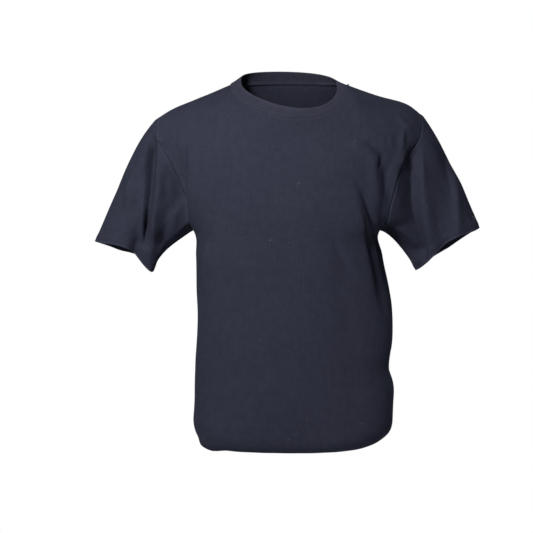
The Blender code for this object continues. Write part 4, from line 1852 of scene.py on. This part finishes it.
class Shirt:
    """The whole shirt: its form, its cloth, its sewing and its finishes."""

    WALL = 0.0009
    HEM_GAP = 0.0005
    NECK_STITCH_AT = 0.0032
    COLUMNS = 156
    SLEEVE_RINGS = 92
    CUFF_RINGS = 27
    CUFF_SHARE = 0.11
    RIB_ROWS = 8
    CLOSE_COLUMNS = (0.0018, 0.0038)
    CLOSE_RINGS = (0.0035, 0.0075)

    def __init__(self) -> None:
        """Sets out the sizes."""
        self.body = BodyForm()
        self.rows = PanelRows()
        self.rib = NeckRib()
        self.seam = Seam()
        self.side_seam = Seam(groove=0.0003, swell=0.0002, rub=0.1)
        self.hem = Hem()
        self.stitches = StitchRow()
        self.sleeves = {
            Arm.RIGHT: SleeveForm(
                over=42, under=33, outer=(-0.3480, -0.2785), inner=(-0.2405, -0.3135),
                depth=0.062, tip=0.16, lift=(0.006, 90, 35), dip=(-0.021, 147, 23),
            ),
            Arm.LEFT: SleeveForm(
                over=50, under=12, outer=(0.3380, -0.2530), inner=(0.2275, -0.3295),
                depth=0.058, tip=0.16, lift=(0.013, 90, 36), dip=(0.0, 150, 20),
            ),
        }
        # the rubbed colours serve for wear and for a painted highlight along seams and folds
        self.jersey = KnitFinish(
            "navy_jersey", deep=(0.0085, 0.0094, 0.0160, 1.0), pale=(0.0150, 0.0163, 0.0257, 1.0),
            rubbed=(0.030, 0.033, 0.048, 1.0),
        ).make()
        self.rib_knit = KnitFinish(
            "navy_rib_knit", deep=(0.0102, 0.0107, 0.0175, 1.0), pale=(0.0183, 0.0190, 0.0285, 1.0),
            rubbed=(0.034, 0.036, 0.052, 1.0), lint=False,
        ).make()
        self.thread = ThreadFinish(
            "navy_thread", colour=(0.012, 0.013, 0.021, 1.0), shine=(0.022, 0.024, 0.037, 1.0)
        ).make()
        self.pieces: dict[str, bpy.types.Object] = {}
        self.cuts: dict[str, Cut] = {}

    def column_shares(self) -> np.ndarray:
        """Where the columns of a panel lie."""
        return spaced(self.COLUMNS, self.CLOSE_COLUMNS, self.CLOSE_COLUMNS)

    def sleeve_shares(self) -> np.ndarray:
        """How far down a sleeve its rings lie, closer at the armhole and the cuff."""
        upper = spaced(self.SLEEVE_RINGS, self.CLOSE_RINGS) * (1 - self.CUFF_SHARE)
        lower = 1 - np.linspace(self.CUFF_SHARE, 0.0, self.CUFF_RINGS + 1)[1:]
        return np.concatenate((upper, lower))

    def armhole(self, front: np.ndarray, back: np.ndarray, column: int) -> np.ndarray:
        """The armhole from the shoulder over the front and the armpit to the back.

        Args:
            front: the front's grid.
            back: the back's grid.
            column: the column at that side.

        Returns:
            The points of the loop.
        """
        start = self.rows.armpit_row()
        return np.concatenate((front[start:, column][::-1], back[start + 1 : -1, column]))

    def drape(self) -> Cloth:
        """Forms the whole cloth and presses its folds and creases."""
        shares = self.column_shares()
        front = self.body.panel(Face.FRONT, self.rows, shares)
        back = self.body.panel(Face.BACK, self.rows, shares)
        start = self.rows.armpit_row()
        back[: start + 1, 0] = front[: start + 1, 0]
        back[: start + 1, -1] = front[: start + 1, -1]
        outside = (shares <= self.body.shoulder_share) | (shares >= 1 - self.body.shoulder_share)
        back[-1, outside] = front[-1, outside]
        down = self.sleeve_shares()
        right = self.sleeves[Arm.RIGHT].rings(Arm.RIGHT, self.armhole(front, back, 0), down)
        left = self.sleeves[Arm.LEFT].rings(Arm.LEFT, self.armhole(front, back, -1), down)
        cloth = Cloth([
            Patch(PANELS[0], front, closed=False, flip=False),
            Patch(PANELS[1], back, closed=False, flip=True),
            Patch(SLEEVES[0], right, closed=True, flip=True),
            Patch(SLEEVES[1], left, closed=True, flip=False),
            Patch(BAND, self.band(front, back, shares), closed=True, flip=True),
        ])
        band = cloth.patches[-1].ids[1:]
        held = cloth.points[band].copy()
        cloth.press(FOLDS + CREASES)
        cloth.ripple()
        cloth.points[band] = held
        cloth.settle()
        return cloth

    def band(self, front: np.ndarray, back: np.ndarray, shares: np.ndarray) -> np.ndarray:
        """Rings of the neck band from the neckline to its free edge.

        Args:
            front: the front's grid.
            back: the back's grid.
            shares: where the panels' columns lie.

        Returns:
            A grid of points, a row for each ring.
        """
        side = self.body.shoulder_share
        inside = (shares > side - 1e-9) & (shares < 1 - side + 1e-9)
        angle = math.pi * (1 - (shares[inside] - side) / (1 - 2 * side))
        seam = np.concatenate((front[-1, inside][::-1][:-1], back[-1, inside][:-1]))
        edge = np.concatenate((
            self.body.rib_points(Face.FRONT, angle)[::-1][:-1],
            self.body.rib_points(Face.BACK, angle)[:-1],
        ))
        rise = np.linspace(0, 1, self.RIB_ROWS + 1)[:, None, None]
        return seam + (edge - seam) * rise

    def sewn(self, patch: Patch, normals: np.ndarray) -> tuple[np.ndarray, np.ndarray]:
        """Sinks a piece in at its seams, puffs its hem and says where it is rubbed and painted lighter as a
        highlight on the ridges.

        Args:
            patch: the piece.
            normals: its normals.

        Returns:
            Its new points, and how rubbed and painted-highlit each is.
        """
        grid = patch.grid
        down = lengths_along(grid, 0)
        if patch.closed:
            from_seam = down
            from_hem = down[-1] - down
            around = lengths_along(grid, 1)
            sides = np.abs(around - around[:, self.underarm() : self.underarm() + 1])
            lift = self.seam.lift(from_seam) + self.hem.lift(from_hem, around)
            lift += self.side_seam.lift(sides) * smooth(from_seam / self.side_seam.start)
        else:
            up = down[-1] - down
            across = lengths_along(grid, 1)
            sides = np.minimum(across, across[:, -1:] - across)
            armhole = (np.arange(len(grid)) >= self.rows.armpit_row())[:, None]
            at_side = np.where(armhole, self.seam.lift(sides), self.side_seam.lift(sides))
            at_top = self.seam.lift(up)
            lift = np.where(up < sides, at_top, at_side) + self.hem.lift(down, across)
            from_seam = np.minimum(np.where(armhole, sides, 1.0), up)
            from_hem = down
        # rubbed near seams and hem edges, which the finish paints lighter: wear with a painted highlight on
        # the ridges
        worn = self.seam.worn(from_seam) + self.hem.worn(from_hem) + self.side_seam.worn(sides)
        return grid + normals * lift[..., None], np.clip(worn, 0, 1)

    def underarm(self) -> int:
        """The sleeve's column at its underarm seam."""
        return len(self.rows.armhole) + len(self.rows.yoke) - 2

    def shell(self, patch: Patch, normals: np.ndarray) -> ClothPiece:
        """Makes a shell of a panel or a sleeve, with its hem turned in.

        Args:
            patch: the piece.
            normals: its normals.

        Returns:
            The shell, yet to be built.
        """
        middle, worn = self.sewn(patch, normals)
        flip = patch.flip
        if not patch.closed:
            middle, worn, normals = middle[::-1], worn[::-1], normals[::-1]
            flip = not flip
        else:
            roll = -self.underarm()
            middle, worn, normals = (np.roll(grid, roll, axis=1) for grid in (middle, worn, normals))
        rows = len(middle)
        middle, normals = folded_back(middle, normals, self.hem.depth, self.WALL + self.HEM_GAP)
        worn = np.concatenate((worn, np.zeros((len(middle) - rows, worn.shape[1]))))
        return ClothPiece(
            "shell_" + patch.name, middle, normals, patch.closed, flip, self.WALL, worn,
            column=middle.shape[1] // 2,
            level=rows // 2 if patch.closed else rows - 1 - self.rows.armpit_row(),
        )

    def line_at(
        self, middle: np.ndarray, normals: np.ndarray, distance: float
    ) -> tuple[np.ndarray, np.ndarray]:
        """A line across a grid at a distance from its first row.

        Args:
            middle: the grid.
            normals: its normals.
            distance: how far from the first row the line lies.

        Returns:
            The line's points on the outside of the cloth, and their normals.
        """
        down = lengths_along(middle, 0)
        row = np.clip((down < distance).sum(axis=0), 1, len(middle) - 1)
        column = np.arange(middle.shape[1])
        above = down[row - 1, column]
        share = ((distance - above) / np.maximum(down[row, column] - above, 1e-9))[:, None]
        normal = unit(normals[row - 1, column] * (1 - share) + normals[row, column] * share)
        points = middle[row - 1, column] * (1 - share) + middle[row, column] * share
        return points + normal * self.WALL / 2, normal

    def sew(self, cloth: Cloth, normals: dict[str, np.ndarray]) -> dict[str, bpy.types.Object]:
        """Lays the stitches of the neckline, the cuffs and the hem.

        Args:
            cloth: the cloth.
            normals: the normals of each piece.

        Returns:
            The rows of stitches by name.
        """
        stitch = self.stitches.model()
        shares = self.column_shares()
        side = self.body.shoulder_share
        inside = (shares >= side) & (shares <= 1 - side)
        rows: dict[str, list[tuple[np.ndarray, np.ndarray, bool]]] = {"neckline": [], "hem": []}
        for patch in cloth.named(PANELS):
            facing = normals[patch.name]
            middle, _ = self.sewn(patch, facing)
            line = self.line_at(middle[::-1, inside], facing[::-1, inside], self.NECK_STITCH_AT)
            rows["neckline"].append((*line, False))
            rows["hem"] += [(*self.line_at(middle, facing, at), False) for at in self.hem.rows_at]
        for patch in cloth.named(SLEEVES):
            facing = normals[patch.name]
            middle, _ = self.sewn(patch, facing)
            rows[patch.name.replace("sleeve", "cuff")] = [
                (*self.line_at(middle[::-1], facing[::-1], at), True) for at in self.hem.rows_at
            ]
        made = {}
        for name, paths in rows.items():
            made["stitches_" + name] = self.stitches.lay("stitches_" + name, paths, stitch.data)
        bpy.data.meshes.remove(stitch.data)
        return made

    def build(self) -> None:
        """Builds and dresses every piece and sets it on the frame."""
        cloth = self.drape()
        normals = cloth.patch_normals()
        for patch in cloth.named(PANELS + SLEEVES):
            shell = self.shell(patch, normals[patch.name])
            self.fit(patch.name, shell.build(), self.jersey, shell.cut())
        (band,) = cloth.named((BAND,))
        piece = self.rib.build(band, normals[BAND])
        self.fit(BAND, piece, self.rib_knit, self.rib.cut(band))
        stitches = self.sew(cloth, normals)
        for row in stitches.values():
            self.dress(row, self.thread)

    def fit(
        self, name: str, piece: bpy.types.Object, finish: bpy.types.Material, cut: Cut
    ) -> None:
        """Dresses a cut piece, puts it in its node's place and notes its cut.

        Args:
            name: the node's name.
            piece: the piece.
            finish: its material.
            cut: its flat cut.
        """
        self.dress(piece, finish)
        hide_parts(name)
        self.pieces[name] = piece
        self.cuts[name] = cut

    def dress(self, piece: bpy.types.Object, finish: bpy.types.Material) -> None:
        """Gives a piece its finish and lets it ride on the shirt's body.

        Args:
            piece: the piece.
            finish: its material.
        """
        piece.data.materials.append(finish)
        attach(piece, ROOT)
        LOG.info("%s: %d faces", piece.name, len(piece.data.polygons))


@dataclass(frozen=True)
class Softbox:
    """A square lamp that looks at a point."""

    name: str
    place: tuple[float, float, float]
    target: tuple[float, float, float]
    size: float
    power: float
    colour: tuple[float, float, float] = (1.0, 1.0, 1.0)

    def make(self) -> None:
        """Puts the lamp in the scene."""
        lamp = bpy.data.lights.new(self.name, "AREA")
        lamp.shape = "SQUARE"
        lamp.size = self.size
        lamp.energy = self.power
        lamp.color = self.colour
        stand = bpy.data.objects.new(self.name, lamp)
        stand.location = self.place
        stand.visible_camera = False
        way = Vector(self.target) - Vector(self.place)
        stand.rotation_euler = way.to_track_quat("-Z", "Y").to_euler()
        bpy.context.scene.collection.objects.link(stand)


@dataclass(frozen=True)
class Studio:
    """The floor, the light and the camera."""

    eye: tuple[float, float, float] = (0.0, -2.4, 0.0)
    target: tuple[float, float, float] = (-0.0405, 0.0, -0.3240)
    view_width: float = 0.9594
    sensor: float = 36.0
    floor_z: float = -1.40
    floor_half: float = 9.0
    floor_back: float = 1.5
    sky_behind: float = 1.0
    sky_ahead: float = 0.12
    sky_span: tuple[float, float] = (0.4, 0.8)
    lamps: tuple[Softbox, ...] = (
        Softbox("key", (-0.62, -1.42, 0.70), (-0.02, -0.10, -0.28), 0.36, 85.0, (1.0, 0.98, 0.95)),
        Softbox("fill", (0.3, -1.8, 0.5), (0.0, 0.0, -0.30), 1.0, 1.2, (0.92, 0.96, 1.0)),
        Softbox("rear right", (1.7, 2.0, 0.8), (0.0, 0.0, -0.30), 0.9, 78.0, (0.92, 0.96, 1.0)),
        Softbox("rear left", (-1.9, 1.7, 0.6), (0.0, 0.0, -0.30), 0.9, 24.0, (0.92, 0.96, 1.0)),
    )

    def camera(self) -> None:
        """Sets up the camera, level sideways, with no shift and no blur."""
        lens = bpy.data.cameras.new("camera")
        way = Vector(self.target) - Vector(self.eye)
        lens.sensor_width = self.sensor
        lens.lens = self.sensor * way.length / self.view_width
        holder = bpy.data.objects.new("camera", lens)
        holder.location = self.eye
        holder.rotation_euler = way.to_track_quat("-Z", "Y").to_euler()
        bpy.context.scene.collection.objects.link(holder)
        bpy.context.scene.camera = holder

    def floor(self) -> None:
        """Lays the pale floor under the shirt, as far down as a wearer stands."""
        middle = (0.0, self.floor_back - self.floor_half, self.floor_z)
        bpy.ops.object.select_all(action="DESELECT")
        bpy.ops.mesh.primitive_plane_add(size=2 * self.floor_half, location=middle)
        plane = bpy.context.object
        plane.name = "floor"
        plane.data.transform(plane.matrix_world)
        plane.location = (0.0, 0.0, 0.0)
        plane.data.materials.append(FloorFinish("pale_paper", (0.92, 0.92, 0.92, 1.0)).make())

    def light(self) -> None:
        """Sets up the sky, white behind the shirt and dimmer ahead of it, and the lamps."""
        world = bpy.data.worlds.new("studio")
        world.use_nodes = True
        bench = NodeBench(world)
        way = bench.node("SeparateXYZ", None, Vector=bench.node("TexCoord").outputs["Generated"])
        behind = Value(bench, way.outputs["Y"])
        strength = bench.range(behind, *self.sky_span, self.sky_ahead, self.sky_behind)
        sky = bench.tree.nodes["Background"]
        bench.fill(sky, {"Strength": strength, "Color": (1.0, 1.0, 1.0, 1.0)})
        bpy.context.scene.world = world
        for lamp in self.lamps:
            lamp.make()

    def make(self) -> None:
        """Sets up the whole studio."""
        bpy.context.scene.view_settings.view_transform = "Standard"
        self.camera()
        self.floor()
        self.light()


def main() -> None:
    """Builds the studio and the shirt."""
    logging.basicConfig(level=logging.INFO, format="%(message)s")
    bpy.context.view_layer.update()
    Studio().make()
    Shirt().build()


if __name__ == "__main__":
    main()
